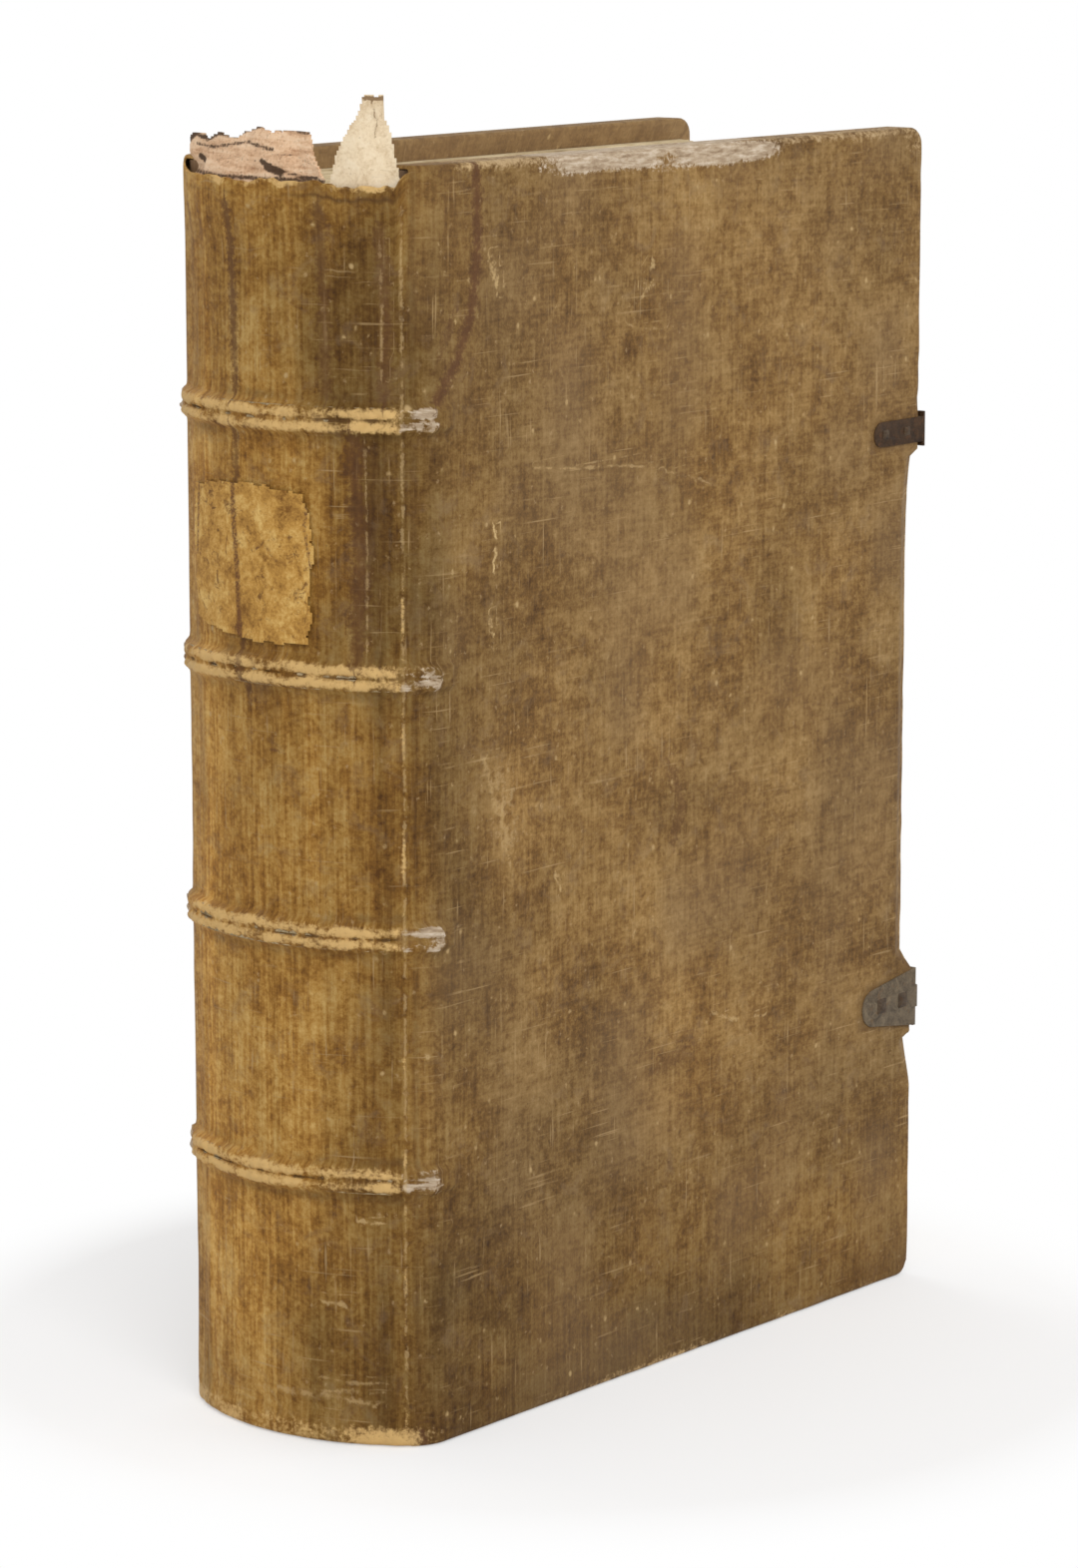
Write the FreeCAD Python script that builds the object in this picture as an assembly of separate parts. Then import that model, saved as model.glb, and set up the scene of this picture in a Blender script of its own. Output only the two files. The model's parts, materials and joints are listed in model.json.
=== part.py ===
import FreeCAD, Part
import math
import os

# An old folio bound in leather over wooden boards, sewn on four double cords. Sizes are in mm.
# While it is modelled, X runs from the front joint to the fore-edge, Y from the front cover's
# outer face to the rear one, and Z from tail to head. The last step centres it on its footprint.

# Covers, over their leather
cover_height = 340.0
cover_width = 222.5
joint_thickness = 82.0
splay_deg = 2.36
corner_radius = 5.0
edge_bevel = 1.2

# Thicknesses
wood_thickness = 8.0
leather_thickness = 1.3
turn_in_thickness = 0.6
turn_in_width = 20.0

# Spine and joints
spine_radius = 62.0
spine_skew = 4.0
joint_depth = 4.4
joint_round = 12.2
joint_gap = 0.3
fold_half_angle_deg = 60.0

# Leaves
square = 6.0
leaf_clearance = 0.3
fore_edge_hollow = 9.0

# Stopped bevel of each fore-edge
bevel_depth = 5.0
bevel_width = 9.0
bevel_tail_tip = 49.0
bevel_tail_full = 84.0
bevel_head_full = 226.0
bevel_head_tip = 279.0

# Raised bands
band_heights = (73.0, 138.5, 207.5, 275.0)
cord_diameter = 3.0
cord_gap = 0.4
slip_width = 4.4
slip_thickness = 2.4
slip_bend = 0.6
slip_depth = 6.3
peg_diameter = 3.2
peg_sides = 6
band_end_width = 8.6
band_end_rise = 2.8
band_end_length = 7.0
band_end_tip = 0.15
ridge_flats = 3

# Tail cap and endband
cap_depth = 5.5
cap_edge_bevel = 1.2
endband_thickness = 4.4
endband_clearance = 0.1

# Torn head: how far above the covers' head each edge stands, against the distance from the
# front face
head_edge = ((-5, -2), (6, -4), (13, -6.5), (22, -4.5), (31, -7.5), (40, -5.5),
             (49, -7), (58, -5), (67, -7), (76, -4.5), (90, -4))
turn_in_edge = ((17, -4), (23, 1.5), (30, 6.5), (46, 7.5), (60, 5), (84, 3))
head_glue_height = 12.0
turn_in_front = 22.5
flap_outline = ((22, -40), (22, -4), (19.5, 4), (16.5, 11), (15.8, 18.5), (11.8, 18),
                (11.4, 12), (8.6, 5), (6.6, -1), (6.4, -40))
flap_thickness = 0.5

# Paper label
label_thickness = 0.25
label_outline = ((27, 216.5), (38, 215), (50, 216), (61, 217.5), (69.5, 219), (70, 233),
                 (71, 247), (68, 256), (57, 254.5), (46, 257), (34, 256), (26, 254.5),
                 (25.2, 243), (26.4, 229))

# Catch plates
plate_rise = 0.4
plate_turn = 1.2
plate_turn_depth = 6.0
upper_plate = {"height": 253.0, "length": 23.0, "edge_half": 3.65, "tip_radius": 3.6,
               "bar": 10.0, "nails": (17.5, 7.0), "head": 2.8}
lower_plate = {"height": 84.4, "length": 25.5, "edge_half": 8.7, "tip_radius": 5.5,
               "bar": 6.5, "nails": (16.0, 5.5), "head": 4.6}
bar_width = 3.2
bar_rise = 1.6
nail_thickness = 1.4
nail_length = 6.0
nail_head_rise = 0.7
pad_margin = 1.0

V = FreeCAD.Vector
UP = V(0, 0, 1)
REACH = 60.0

# Sizes that follow
cover_depth = leather_thickness + wood_thickness + turn_in_thickness
leaf_depth = cover_depth + leaf_clearance
back_radius = spine_radius - leather_thickness
split = joint_gap / 2
cord_pitch = cord_diameter + cord_gap
front_joint = V(0, joint_depth, 0)
rear_joint = V(-spine_skew, joint_thickness - joint_depth, 0)
rounding_x = math.sqrt(2 * joint_round * joint_depth - joint_depth ** 2)
chord = rear_joint - front_joint
outward = V(-chord.y, chord.x, 0).normalize()
half_angle = math.asin(chord.Length / 2 / spine_radius)
spine_centre = (front_joint + rear_joint) * 0.5 - outward * spine_radius * math.cos(half_angle)
outward_deg = math.degrees(math.atan2(outward.y, outward.x))


def polygon(points):
    """A flat face through points, in their order."""
    return Part.Face(Part.makePolygon([V(*p) for p in points] + [V(*points[0])]))


def box(x0, x1, y0, y1, z0, z1):
    """A box between two corners."""
    return Part.makeBox(x1 - x0, y1 - y0, z1 - z0, V(x0, y0, z0))


def one_solid(shape):
    """The shape with its seams cleaned, as one solid."""
    clean = shape.removeSplitter()
    return max(clean.Solids, key=lambda s: s.Volume)


def place_rear(shape):
    """A piece of the front cover, turned into the same piece of the rear cover."""
    rear = shape.mirror(V(0, joint_thickness / 2, 0), V(0, 1, 0))
    rear.translate(V(-spine_skew, 0, 0))
    rear.rotate(rear_joint, UP, splay_deg)
    return rear


def rear_point(x, depth):
    """Plan point of the rear cover, x from its joint and depth below its outer face."""
    a = math.radians(splay_deg)
    out = joint_depth - depth
    return V(rear_joint.x + x * math.cos(a) - out * math.sin(a),
             rear_joint.y + x * math.sin(a) + out * math.cos(a), 0)


def around_spine(section):
    """Revolves a section drawn as (radius, 0, height) round the spine, past both joints."""
    sweep = 2 * math.degrees(half_angle) + 16
    ring = section.revolve(V(0, 0, 0), UP, sweep)
    ring.rotate(V(0, 0, 0), UP, outward_deg - sweep / 2)
    ring.translate(spine_centre)
    return ring


def cover_space():
    """Everything on the fore-edge side of the front joint, as deep as the cover."""
    return box(-split, cover_width + REACH, -REACH, leaf_depth, -REACH, cover_height + REACH)


def trim_to_joints(shape):
    """Cuts a spine piece off at both joints."""
    space = cover_space()
    return shape.cut(space).cut(place_rear(space))


def fold_wedge(apex_depth):
    """The room outside the front joint that stays free, so that the bands fold there."""
    normal = (front_joint - V(rounding_x, joint_round, 0)).normalize()
    apex = front_joint - normal * apex_depth
    sides = []
    for sign in (-1, 1):
        turn = FreeCAD.Rotation(UP, sign * fold_half_angle_deg)
        sides.append(apex + turn.multVec(normal) * REACH)
    face = polygon([tuple(p) for p in (apex, sides[0], sides[1])])
    return face.extrude(UP * cover_height)


def fold_relief(shape, apex_depth):
    """Takes the free room of both joints out of a spine piece."""
    wedge = fold_wedge(apex_depth)
    return shape.cut(wedge).cut(place_rear(wedge))


def side_outline(points, base):
    """A prism along X over an outline given as (distance from the front face, height over base)."""
    return polygon([(-REACH, y, base + z) for y, z in points]).extrude(V(2 * REACH, 0, 0))


def below_edge(points):
    """A prism along X under a ragged edge given as (distance from the front face, height over
    the covers' head)."""
    knots = [V(-REACH, y, cover_height + z) for y, z in points]
    first, last = knots[0], knots[-1]
    ground_first, ground_last = V(first.x, first.y, -1), V(last.x, last.y, -1)
    edges = [Part.LineSegment(a, b).toShape() for a, b in zip(knots, knots[1:])]
    edges.append(Part.LineSegment(last, ground_last).toShape())
    edges.append(Part.LineSegment(ground_last, ground_first).toShape())
    edges.append(Part.LineSegment(ground_first, first).toShape())
    return Part.Face(Part.Wire(edges)).extrude(V(2 * REACH, 0, 0))


def flat_section(radius, height, width, thickness):
    """A pressed cord's or a strip's section, lying on a radius, in the (radius, height) plane."""
    low, high = height - width / 2, height + width / 2
    return polygon([(radius, 0, low), (radius + thickness, 0, low),
                    (radius + thickness, 0, high), (radius, 0, high)])


def fold_depth():
    """How far under the joint a cord's free room starts, so that its leather keeps its wall."""
    return leather_thickness / math.sin(math.radians(fold_half_angle_deg))


def sewing_cords():
    """Two cords under each band, lying on the back of the leaves."""
    cords = []
    for band in band_heights:
        for side in (-0.5, 0.5):
            section = flat_section(back_radius, band + side * cord_pitch,
                                   cord_diameter, cord_diameter)
            cord = trim_to_joints(around_spine(section))
            cords.append(fold_relief(cord, fold_depth()))
    return cords


def cord_pockets():
    """The hollow that each pair of cords fills under its leather."""
    pockets = []
    for band in band_heights:
        section = flat_section(back_radius, band, cord_pitch + cord_diameter, cord_diameter)
        pockets.append(fold_relief(around_spine(section), fold_depth()))
    return pockets


def ridge_points(centre_x, centre_z, radius, first_deg, last_deg):
    """Points round a ridge of leather, as (radius, 0, height), from its lower side up."""
    points = []
    for step in range(ridge_flats + 1):
        a = math.radians(first_deg + (last_deg - first_deg) * step / ridge_flats)
        points.append((centre_x + radius * math.cos(a), 0, centre_z + radius * math.sin(a)))
    return points


def band_section(height):
    """Two ridges of leather over a pair of cords, drawn with flats."""
    r = cord_diameter / 2 + leather_thickness
    x = back_radius + cord_diameter / 2
    valley_deg = math.degrees(math.asin(cord_pitch / 2 / r))
    lower = ridge_points(x, height - cord_pitch / 2, r, -90, valley_deg)
    upper = ridge_points(x, height + cord_pitch / 2, r, -valley_deg, 90)
    foot_low, foot_high = (back_radius, 0, lower[0][2]), (back_radius, 0, upper[-1][2])
    return polygon([foot_low] + lower + upper[1:] + [foot_high])


def spine_shell():
    """The leather's plain section with its cap at the tail, up to past the torn head."""
    top = cover_height
    cap, e = back_radius - cap_depth, cap_edge_bevel
    return around_spine(polygon([(cap, 0, 0), (spine_radius - e, 0, 0), (spine_radius, 0, e),
                                 (spine_radius, 0, top), (back_radius, 0, top),
                                 (back_radius, 0, leather_thickness),
                                 (cap, 0, leather_thickness)]))


def spine_leather(head_pieces):
    """The skin of the spine, moulded over the cords and torn off at the head."""
    bands = [fold_relief(around_spine(band_section(h)), 0) for h in band_heights]
    skin = spine_shell().common(below_edge(head_edge)).fuse(bands)
    skin = trim_to_joints(skin)
    return one_solid(skin.cut(Part.Compound(cord_pockets() + head_pieces)))


def tail_endband():
    """The core that the cap at the tail is folded over."""
    r = back_radius - endband_clearance - endband_thickness
    z = leather_thickness + (square - leather_thickness) / 2
    section = flat_section(r, z, endband_thickness, endband_thickness)
    return one_solid(trim_to_joints(around_spine(section)))


def torn_turn_in():
    """What is left of the head cap: its turned-in part, which stands up over the leaves."""
    root, tip = cover_height - square - head_glue_height, cover_height + REACH
    section = flat_section(back_radius, (root + tip) / 2, tip - root, turn_in_thickness)
    sheet = trim_to_joints(around_spine(section)).common(below_edge(turn_in_edge))
    return one_solid(sheet.cut(box(-REACH, REACH, -REACH, turn_in_front, 0, 2 * cover_height)))


def vellum_flap():
    """The tab of vellum that stands up beside the front joint."""
    root = cover_height - square - head_glue_height
    top = cover_height + REACH
    section = flat_section(back_radius, (root + top) / 2, top - root, flap_thickness)
    sheet = trim_to_joints(around_spine(section))
    return one_solid(sheet.common(side_outline(flap_outline, cover_height)))


def spine_label():
    """The paper label, torn round its edges."""
    low, high = band_heights[2], band_heights[3]
    section = flat_section(spine_radius, (low + high) / 2, high - low, label_thickness)
    return one_solid(around_spine(section).common(side_outline(label_outline, 0)))


def text_block():
    """All the leaves: rounded back, shoulders at the joints and a hollow fore-edge."""
    height = cover_height - 2 * square
    disc = Part.makeCylinder(back_radius, height, V(spine_centre.x, spine_centre.y, square))
    back = trim_to_joints(disc)
    fore = cover_width - square
    front_near, front_far = V(-split, leaf_depth, square), V(fore, leaf_depth, square)
    lift = V(0, 0, square)
    rear_near, rear_far = rear_point(-split, leaf_depth) + lift, rear_point(fore, leaf_depth) + lift
    middle = (front_far + rear_far) * 0.5 - V(fore_edge_hollow, 0, 0)
    edges = [Part.LineSegment(front_near, front_far).toShape(),
             Part.Arc(front_far, middle, rear_far).toShape(),
             Part.LineSegment(rear_far, rear_near).toShape(),
             Part.LineSegment(rear_near, front_near).toShape()]
    leaves = Part.Face(Part.Wire(edges)).extrude(UP * height)
    return one_solid(back.fuse(leaves))


def bevel_section(share, height):
    """The corner that the fore-edge's bevel takes off, at a share of its full size."""
    a = V(cover_width - share * bevel_width, 0, height)
    b = V(cover_width, share * bevel_depth, height)
    past = (b - a) * 0.4
    corner = V(cover_width + bevel_width, -bevel_depth, height)
    return Part.makePolygon([a - past, b + past, corner, a - past])


def bevel_cutter():
    """The stopped bevel between the catches, left out under each catch plate."""
    tip = 0.02
    sections = [bevel_section(tip, bevel_tail_tip), bevel_section(1, bevel_tail_full),
                bevel_section(1, bevel_head_full), bevel_section(tip, bevel_head_tip)]
    return Part.makeLoft(sections, True, True)


def without_pads(cutter, inset):
    """Leaves the front board whole where a catch plate sits."""
    for plate in (upper_plate, lower_plate):
        half = plate["edge_half"] + pad_margin - inset
        low, high = plate["height"] - half, plate["height"] + half
        cutter = cutter.cut(box(cover_width - REACH, cover_width + REACH, -REACH, REACH, low, high))
    return cutter


def cover_form(inset, depth, has_plates):
    """A cover's outside moved inward by inset, from its outer face to depth. Its edges are
    taken off and its corners rounded only where inset is 0: the wood is left sharp."""
    centre = V(rounding_x, joint_round, 0)
    r = joint_round - inset
    start = V(split, joint_round - math.sqrt(r * r - (rounding_x - split) ** 2), 0)
    turn = math.atan2(start.y - centre.y, start.x - centre.x) % (2 * math.pi)
    half_turn = (turn + 1.5 * math.pi) / 2
    middle = centre + V(math.cos(half_turn), math.sin(half_turn), 0) * r
    flat = V(rounding_x, inset, 0)
    far = cover_width - inset
    edges = [Part.Arc(start, middle, flat).toShape()]
    rest = [flat, V(far, inset, 0), V(far, depth, 0), V(split, depth, 0), start]
    edges += [Part.LineSegment(a, b).toShape() for a, b in zip(rest, rest[1:])]
    plan = Part.Face(Part.Wire(edges))
    plan.translate(UP * inset)
    form = plan.extrude(UP * (cover_height - 2 * inset))
    corners = corner_edges(form, far)
    if inset == 0:
        form = bevel_outer_edges(form.makeFillet(corner_radius, corners))
    else:
        form = form.makeChamfer(corner_radius - inset, corners)
    shift = V(-bevel_depth, bevel_width, 0).normalize() * inset
    cutter = bevel_cutter()
    cutter.translate(shift)
    return form.cut(without_pads(cutter, inset) if has_plates else cutter)


def corner_edges(form, far):
    """The two edges through a cover at its corners by the fore-edge."""
    chosen = []
    for edge in form.Edges:
        ends = [v.Point for v in edge.Vertexes]
        if len(ends) == 2 and all(abs(p.x - far) < 0.01 for p in ends):
            if abs(ends[0].z - ends[1].z) < 0.01:
                chosen.append(edge)
    return chosen


def bevel_outer_edges(form):
    """Takes off the edges round a cover's outer face, apart from the joint's."""
    chosen = []
    for edge in form.Edges:
        extent = edge.BoundBox
        if extent.YMax < 0.01 and extent.XMax > rounding_x + 1:
            chosen.append(edge)
    return form.makeChamfer(edge_bevel, chosen)


def slip(height):
    """A frayed cord end, pasted flat: over the board's rounded edge, then down its hole."""
    centre = V(rounding_x, joint_round, 0)
    inner = joint_round - leather_thickness
    outer = inner + slip_thickness
    wood, face = joint_round - inner, joint_round - outer
    far, near = centre - V(inner, 0, 0), centre - V(outer, 0, 0)
    slant = V(-1, -1, 0).normalize()
    rest = [centre - V(0, inner, 0), V(rounding_x + slip_bend, wood + slip_bend, 0),
            V(rounding_x + slip_bend, slip_depth, 0),
            V(rounding_x + slip_bend + slip_thickness, slip_depth, 0),
            V(rounding_x + slip_bend + slip_thickness, wood + slip_bend, 0),
            V(rounding_x + slip_bend, face + slip_bend, 0), centre - V(0, outer, 0)]
    edges = [Part.LineSegment(a, b).toShape() for a, b in zip(rest, rest[1:])]
    edges += [Part.Arc(rest[-1], centre + slant * outer, near).toShape(),
              Part.LineSegment(near, far).toShape(),
              Part.Arc(far, centre + slant * inner, rest[0]).toShape()]
    strip = Part.Face(Part.Wire(edges)).extrude(UP * slip_width)
    strip.translate(UP * (height - slip_width / 2))
    strip = strip.cut(fold_wedge(fold_depth()))
    return one_solid(strip.cut(box(-REACH, split, -REACH, REACH, 0, cover_height)))


def peg(height):
    """The whittled peg that wedges a slip from the board's inner face."""
    middle = V(rounding_x + slip_bend + slip_thickness / 2, slip_depth, height)
    corners = []
    for step in range(peg_sides):
        a = 2 * math.pi * (step + 0.5) / peg_sides
        corners.append(tuple(middle + V(math.cos(a), 0, math.sin(a)) * (peg_diameter / 2)))
    depth = leather_thickness + wood_thickness
    return polygon(corners).extrude(V(0, depth - slip_depth, 0))


def band_end(height):
    """The rounded end of a band on the cover, where its leather lies over a slip."""
    half, rise = band_end_width / 2, band_end_rise
    base = joint_round - leather_thickness
    ball = (half * half + rise * rise) / (2 * rise)
    half_deg = math.degrees(math.asin(half / ball))
    arch = ridge_points(joint_round + rise - ball, height, ball, -half_deg, half_deg)
    corner_list = [(base, 0, height - half)] + arch + [(base, 0, height + half)]
    ridge = polygon(corner_list).revolve(V(0, 0, 0), UP, 90)
    ridge.rotate(V(0, 0, 0), UP, 180)
    ridge.translate(V(rounding_x, joint_round, 0))
    sections = []
    for x, scale in ((0, 1), (band_end_length, band_end_tip)):
        corners = [V(rounding_x + x, leather_thickness - scale * (r - base),
                     height + scale * (z - height)) for r, _, z in corner_list]
        sections.append(Part.makePolygon(corners + corners[:1]))
    point = Part.makeLoft(sections, True, True)
    whole = ridge.fuse(point).cut(fold_wedge(0))
    return whole.cut(box(-REACH, split, -REACH, REACH, 0, cover_height))


def cover_pieces(plates):
    """Board, leather, pastedown, slips and pegs of a cover, in the front cover's place."""
    has_plates = bool(plates)
    slips = [slip(h) for h in band_heights]
    pegs = [peg(h) for h in band_heights]
    wood_depth = leather_thickness + wood_thickness
    wood = cover_form(leather_thickness, wood_depth, has_plates)
    board = one_solid(wood.cut(Part.Compound(slips + pegs + plates)))
    pastedown = box(split, cover_width - turn_in_width, wood_depth, cover_depth,
                    turn_in_width, cover_height - turn_in_width)
    skin = cover_form(0, cover_depth, has_plates).fuse([band_end(h) for h in band_heights])
    leather = one_solid(skin.cut(wood).cut(Part.Compound(slips + pegs + plates + [pastedown])))
    return {"board": board, "cover_leather": leather, "pastedown": pastedown,
            "slips": Part.Compound(slips), "pegs": Part.Compound(pegs)}


def catch_plate(size):
    """A tongue of sheet metal on the board, turned over its edge, with the bar of the catch."""
    tip, half, z = size["tip_radius"], size["edge_half"], size["height"]
    end = cover_width + plate_turn
    start = cover_width - size["length"] + tip
    slope = math.atan2(half - tip, end - start)
    touch = V(start - tip * math.sin(slope), -plate_rise, tip * math.cos(slope))
    upper, lower = touch + UP * z, V(touch.x, touch.y, z - touch.z)
    edges = [Part.Arc(upper, V(start - tip, -plate_rise, z), lower).toShape(),
             Part.LineSegment(lower, V(end, -plate_rise, z - half)).toShape(),
             Part.LineSegment(V(end, -plate_rise, z - half), V(end, -plate_rise, z + half)).toShape(),
             Part.LineSegment(V(end, -plate_rise, z + half), upper).toShape()]
    sheet = Part.Face(Part.Wire(edges)).extrude(V(0, leather_thickness + plate_rise, 0))
    turned = box(cover_width, end, -plate_rise, plate_turn_depth, z - half, z + half)
    top, bottom, nose = -plate_rise, bar_width - plate_rise, bar_rise / 2
    bar = polygon([(end, top, 0), (end + nose, top, 0), (end + bar_rise, top + nose, 0),
                   (end + bar_rise, bottom - nose, 0), (end + nose, bottom, 0), (end, bottom, 0)])
    bar.translate(UP * (z - size["bar"] / 2))
    return one_solid(sheet.fuse([turned, bar.extrude(UP * size["bar"])]))


def plate_nails(size):
    """Forged nails with four-sided heads, through a catch plate into the board."""
    nails = []
    s, h = nail_thickness / 2, size["head"] / 2
    for inset in size["nails"]:
        shank = box(-s, s, 0, nail_length, -s, s)
        head = Part.makeWedge(-h / 2, -nail_head_rise, -h / 2, -h, -h,
                              h / 2, 0, h / 2, h, h)
        nail = one_solid(shank.fuse(head))
        nail.translate(V(cover_width - inset, -plate_rise, size["height"]))
        nails.append(nail)
    return nails


def build():
    """Every piece of the book by its name, in the modelling place."""
    turn_in, flap = torn_turn_in(), vellum_flap()
    pieces = {"text_block": text_block(), "sewing_cords": Part.Compound(sewing_cords()),
              "spine_leather": spine_leather([turn_in, flap]),
              "tail_endband": tail_endband(), "torn_head_turn_in": turn_in,
              "vellum_flap": flap, "spine_label": spine_label()}
    nails = plate_nails(upper_plate) + plate_nails(lower_plate)
    through = Part.Compound(nails)
    plates = [catch_plate(size) for size in (upper_plate, lower_plate)]
    pieces["upper_catch_plate"] = one_solid(plates[0].cut(through))
    pieces["lower_catch_plate"] = one_solid(plates[1].cut(through))
    pieces["catch_plate_nails"] = through
    for name, shape in cover_pieces(plates + nails).items():
        pieces["front_" + name] = shape
    for name, shape in cover_pieces([]).items():
        pieces["rear_" + name] = place_rear(shape)
    return pieces


def footprint_shift(pieces):
    """The move that puts the middle of the footprint at the origin."""
    whole = Part.Compound(list(pieces.values())).optimalBoundingBox(False, False)
    return V(-(whole.XMin + whole.XMax) / 2, -(whole.YMin + whole.YMax) / 2, 0)


def main():
    """Builds the book and writes one file for each piece."""
    os.makedirs("parts", exist_ok=True)
    pieces = build()
    shift = footprint_shift(pieces)
    for name, shape in pieces.items():
        shape.translate(shift)
        shape.exportStep(f"parts/{name}.step")
        print(name, len(shape.Solids), round(shape.Volume, 1), shape.isValid())
    print("front joint", front_joint + shift, "rear joint", rear_joint + shift)


main()
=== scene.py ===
"""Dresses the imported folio: its leather, leaves, torn head, label and catch plates."""
import json
import logging
import math
from collections.abc import Iterable, Iterator
from contextlib import contextmanager
from dataclasses import dataclass, field
from enum import Enum

import bpy
import numpy as np
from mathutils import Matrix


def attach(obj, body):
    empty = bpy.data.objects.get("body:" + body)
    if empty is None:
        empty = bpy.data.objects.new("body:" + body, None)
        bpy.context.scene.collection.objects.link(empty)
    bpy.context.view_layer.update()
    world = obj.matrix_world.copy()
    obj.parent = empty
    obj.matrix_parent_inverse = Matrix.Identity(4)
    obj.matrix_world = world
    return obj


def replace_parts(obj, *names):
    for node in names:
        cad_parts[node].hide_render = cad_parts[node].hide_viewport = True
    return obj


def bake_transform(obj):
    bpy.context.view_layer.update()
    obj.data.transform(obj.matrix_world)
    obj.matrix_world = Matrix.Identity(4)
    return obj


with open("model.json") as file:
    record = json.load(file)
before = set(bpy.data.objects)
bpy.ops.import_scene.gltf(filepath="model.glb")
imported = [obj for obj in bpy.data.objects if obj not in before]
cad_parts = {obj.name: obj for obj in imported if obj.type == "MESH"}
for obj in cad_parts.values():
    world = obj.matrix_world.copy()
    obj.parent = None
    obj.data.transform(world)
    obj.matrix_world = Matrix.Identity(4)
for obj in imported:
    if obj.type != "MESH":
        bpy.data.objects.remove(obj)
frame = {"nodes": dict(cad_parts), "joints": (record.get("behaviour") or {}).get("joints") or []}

logging.basicConfig(level=logging.INFO, format="%(message)s")
LOG = logging.getLogger("bindery")
MM = 0.001
Array = np.ndarray
Socket = bpy.types.NodeSocket
Piece = bpy.types.Object
Material = bpy.types.Material
Colour = tuple[float, float, float]
Spot = tuple[float, float]
Patch = tuple[float, float, float, float, float]


class Side(Enum):
    """Which half of the leather a skin is."""

    FRONT = "front"
    REAR = "rear"


class Tone(Enum):
    """Whether a mark on the leather is paler or darker than it."""

    PALE = "pale"
    DARK = "dark"


# Numbers

def smooth(value: Array, low: float, high: float) -> Array:
    """Rises smoothly from 0 at low to 1 at high."""
    t = np.clip((value - low) / (high - low), 0, 1)
    return t * t * (3 - 2 * t)


def fall(value: Array, low: float, high: float) -> Array:
    """Falls smoothly from 1 at low to 0 at high."""
    return 1 - smooth(value, low, high)


def hill(value: Array, middle: float, half: float) -> Array:
    """1 at the middle, and next to nothing two half widths away from it."""
    return np.exp(-((value - middle) / half) ** 2)


def cloud(x: Array, z: Array, cell_x: float, cell_z: float, seed: int) -> Array:
    """Soft random hills.

    Args:
        x: places along the skin, in mm.
        z: heights, in mm.
        cell_x: size of a hill along x.
        cell_z: size of a hill along z.
        seed: number of the pattern.

    Returns:
        Values from -1 to 1.
    """
    count = 256
    table = np.random.RandomState(seed).uniform(-1, 1, (count, count))
    gx, gz = x / cell_x + 400.37, z / cell_z + 300.71
    ix, iz = np.floor(gx).astype(int), np.floor(gz).astype(int)
    fx, fz = gx - ix, gz - iz
    fx, fz = fx * fx * (3 - 2 * fx), fz * fz * (3 - 2 * fz)
    left, right, low, high = ix % count, (ix + 1) % count, iz % count, (iz + 1) % count
    below = table[left, low] * (1 - fx) + table[right, low] * fx
    above = table[left, high] * (1 - fx) + table[right, high] * fx
    return below * (1 - fz) + above * fz


def ripple(x: Array, cell: float, seed: int) -> Array:
    """Soft random hills of one size along a line, from -1 to 1."""
    return cloud(x, 0 * x, cell, 1, seed)


def spread(stops: list[tuple[float, float, float]]) -> Array:
    """Places along a line.

    Args:
        stops: (from, to, largest step) of each stretch, one after another.

    Returns:
        The places, from the first to the last.
    """
    places = [np.array([stops[0][0]])]
    for start, end, step in stops:
        count = max(1, int(math.ceil((end - start) / step)))
        places.append(np.linspace(start, end, count + 1)[1:])
    return np.concatenate(places)


@dataclass(frozen=True)
class Stroke:
    """A mark along a line of (place along the skin, height) points, in mm."""

    tone: Tone
    width: float
    strength: float
    points: tuple[Spot, ...]

    def measure(self, x: Array, z: Array) -> tuple[Array, Array]:
        """How far each place is from the line.

        Args:
            x: places along the skin.
            z: heights.

        Returns:
            The signed distance as a share of the width, and how strong the mark is there.
        """
        best, signed = np.full(x.shape, 1e9), np.full(x.shape, 1e9)
        for (ax, az), (bx, bz) in zip(self.points, self.points[1:]):
            dx, dz = bx - ax, bz - az
            t = np.clip(((x - ax) * dx + (z - az) * dz) / (dx * dx + dz * dz), 0, 1)
            away = np.hypot(x - ax - t * dx, z - az - t * dz)
            side = np.sign((x - ax) * dz - (z - az) * dx)
            near = away < best
            best, signed = np.where(near, away, best), np.where(near, away * side, signed)
        reach = self.width * 1.5 + 2.5
        return signed / self.width, self.strength * fall(best, reach * 0.7, reach)


def strokes(tone: Tone, *rows: tuple[float, ...]) -> tuple[Stroke, ...]:
    """Marks of one tone, from rows of width, strength and each point's place and height."""
    return tuple(Stroke(tone, row[0], row[1], tuple(zip(row[2::2], row[3::2]))) for row in rows)


# Sizes

@dataclass(frozen=True)
class CatchPlate:
    """Where a catch plate lies on the front cover, in mm."""

    height: float
    edge_half: float
    tip_half: float
    reach: float
    pad_half: float


@dataclass(frozen=True)
class BookSizes:
    """The folio's sizes in mm, as its solids have them."""

    height: float = 340.0
    width: float = 222.5
    depth: float = 9.9
    joint_depth: float = 4.4
    joint_round: float = 12.2
    spine_radius: float = 62.0
    splay_deg: float = 2.36
    corner: float = 5.0
    edge: float = 1.5
    bevel: tuple[float, ...] = (5.0, 9.0, 49.0, 84.0, 226.0, 279.0)
    bands: tuple[float, ...] = (73.0, 138.5, 207.5, 275.0)
    plates: tuple[CatchPlate, ...] = (CatchPlate(253.0, 3.65, 3.6, 23.0, 4.7),
                                      CatchPlate(84.4, 8.7, 5.5, 25.5, 9.7))
    square: float = 6.0
    head: float = 334.0

    @property
    def rounding(self) -> float:
        """Where the board's rounded side meets its flat face."""
        return math.sqrt(2 * self.joint_round * self.joint_depth - self.joint_depth ** 2)


SIZES = BookSizes()


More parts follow.
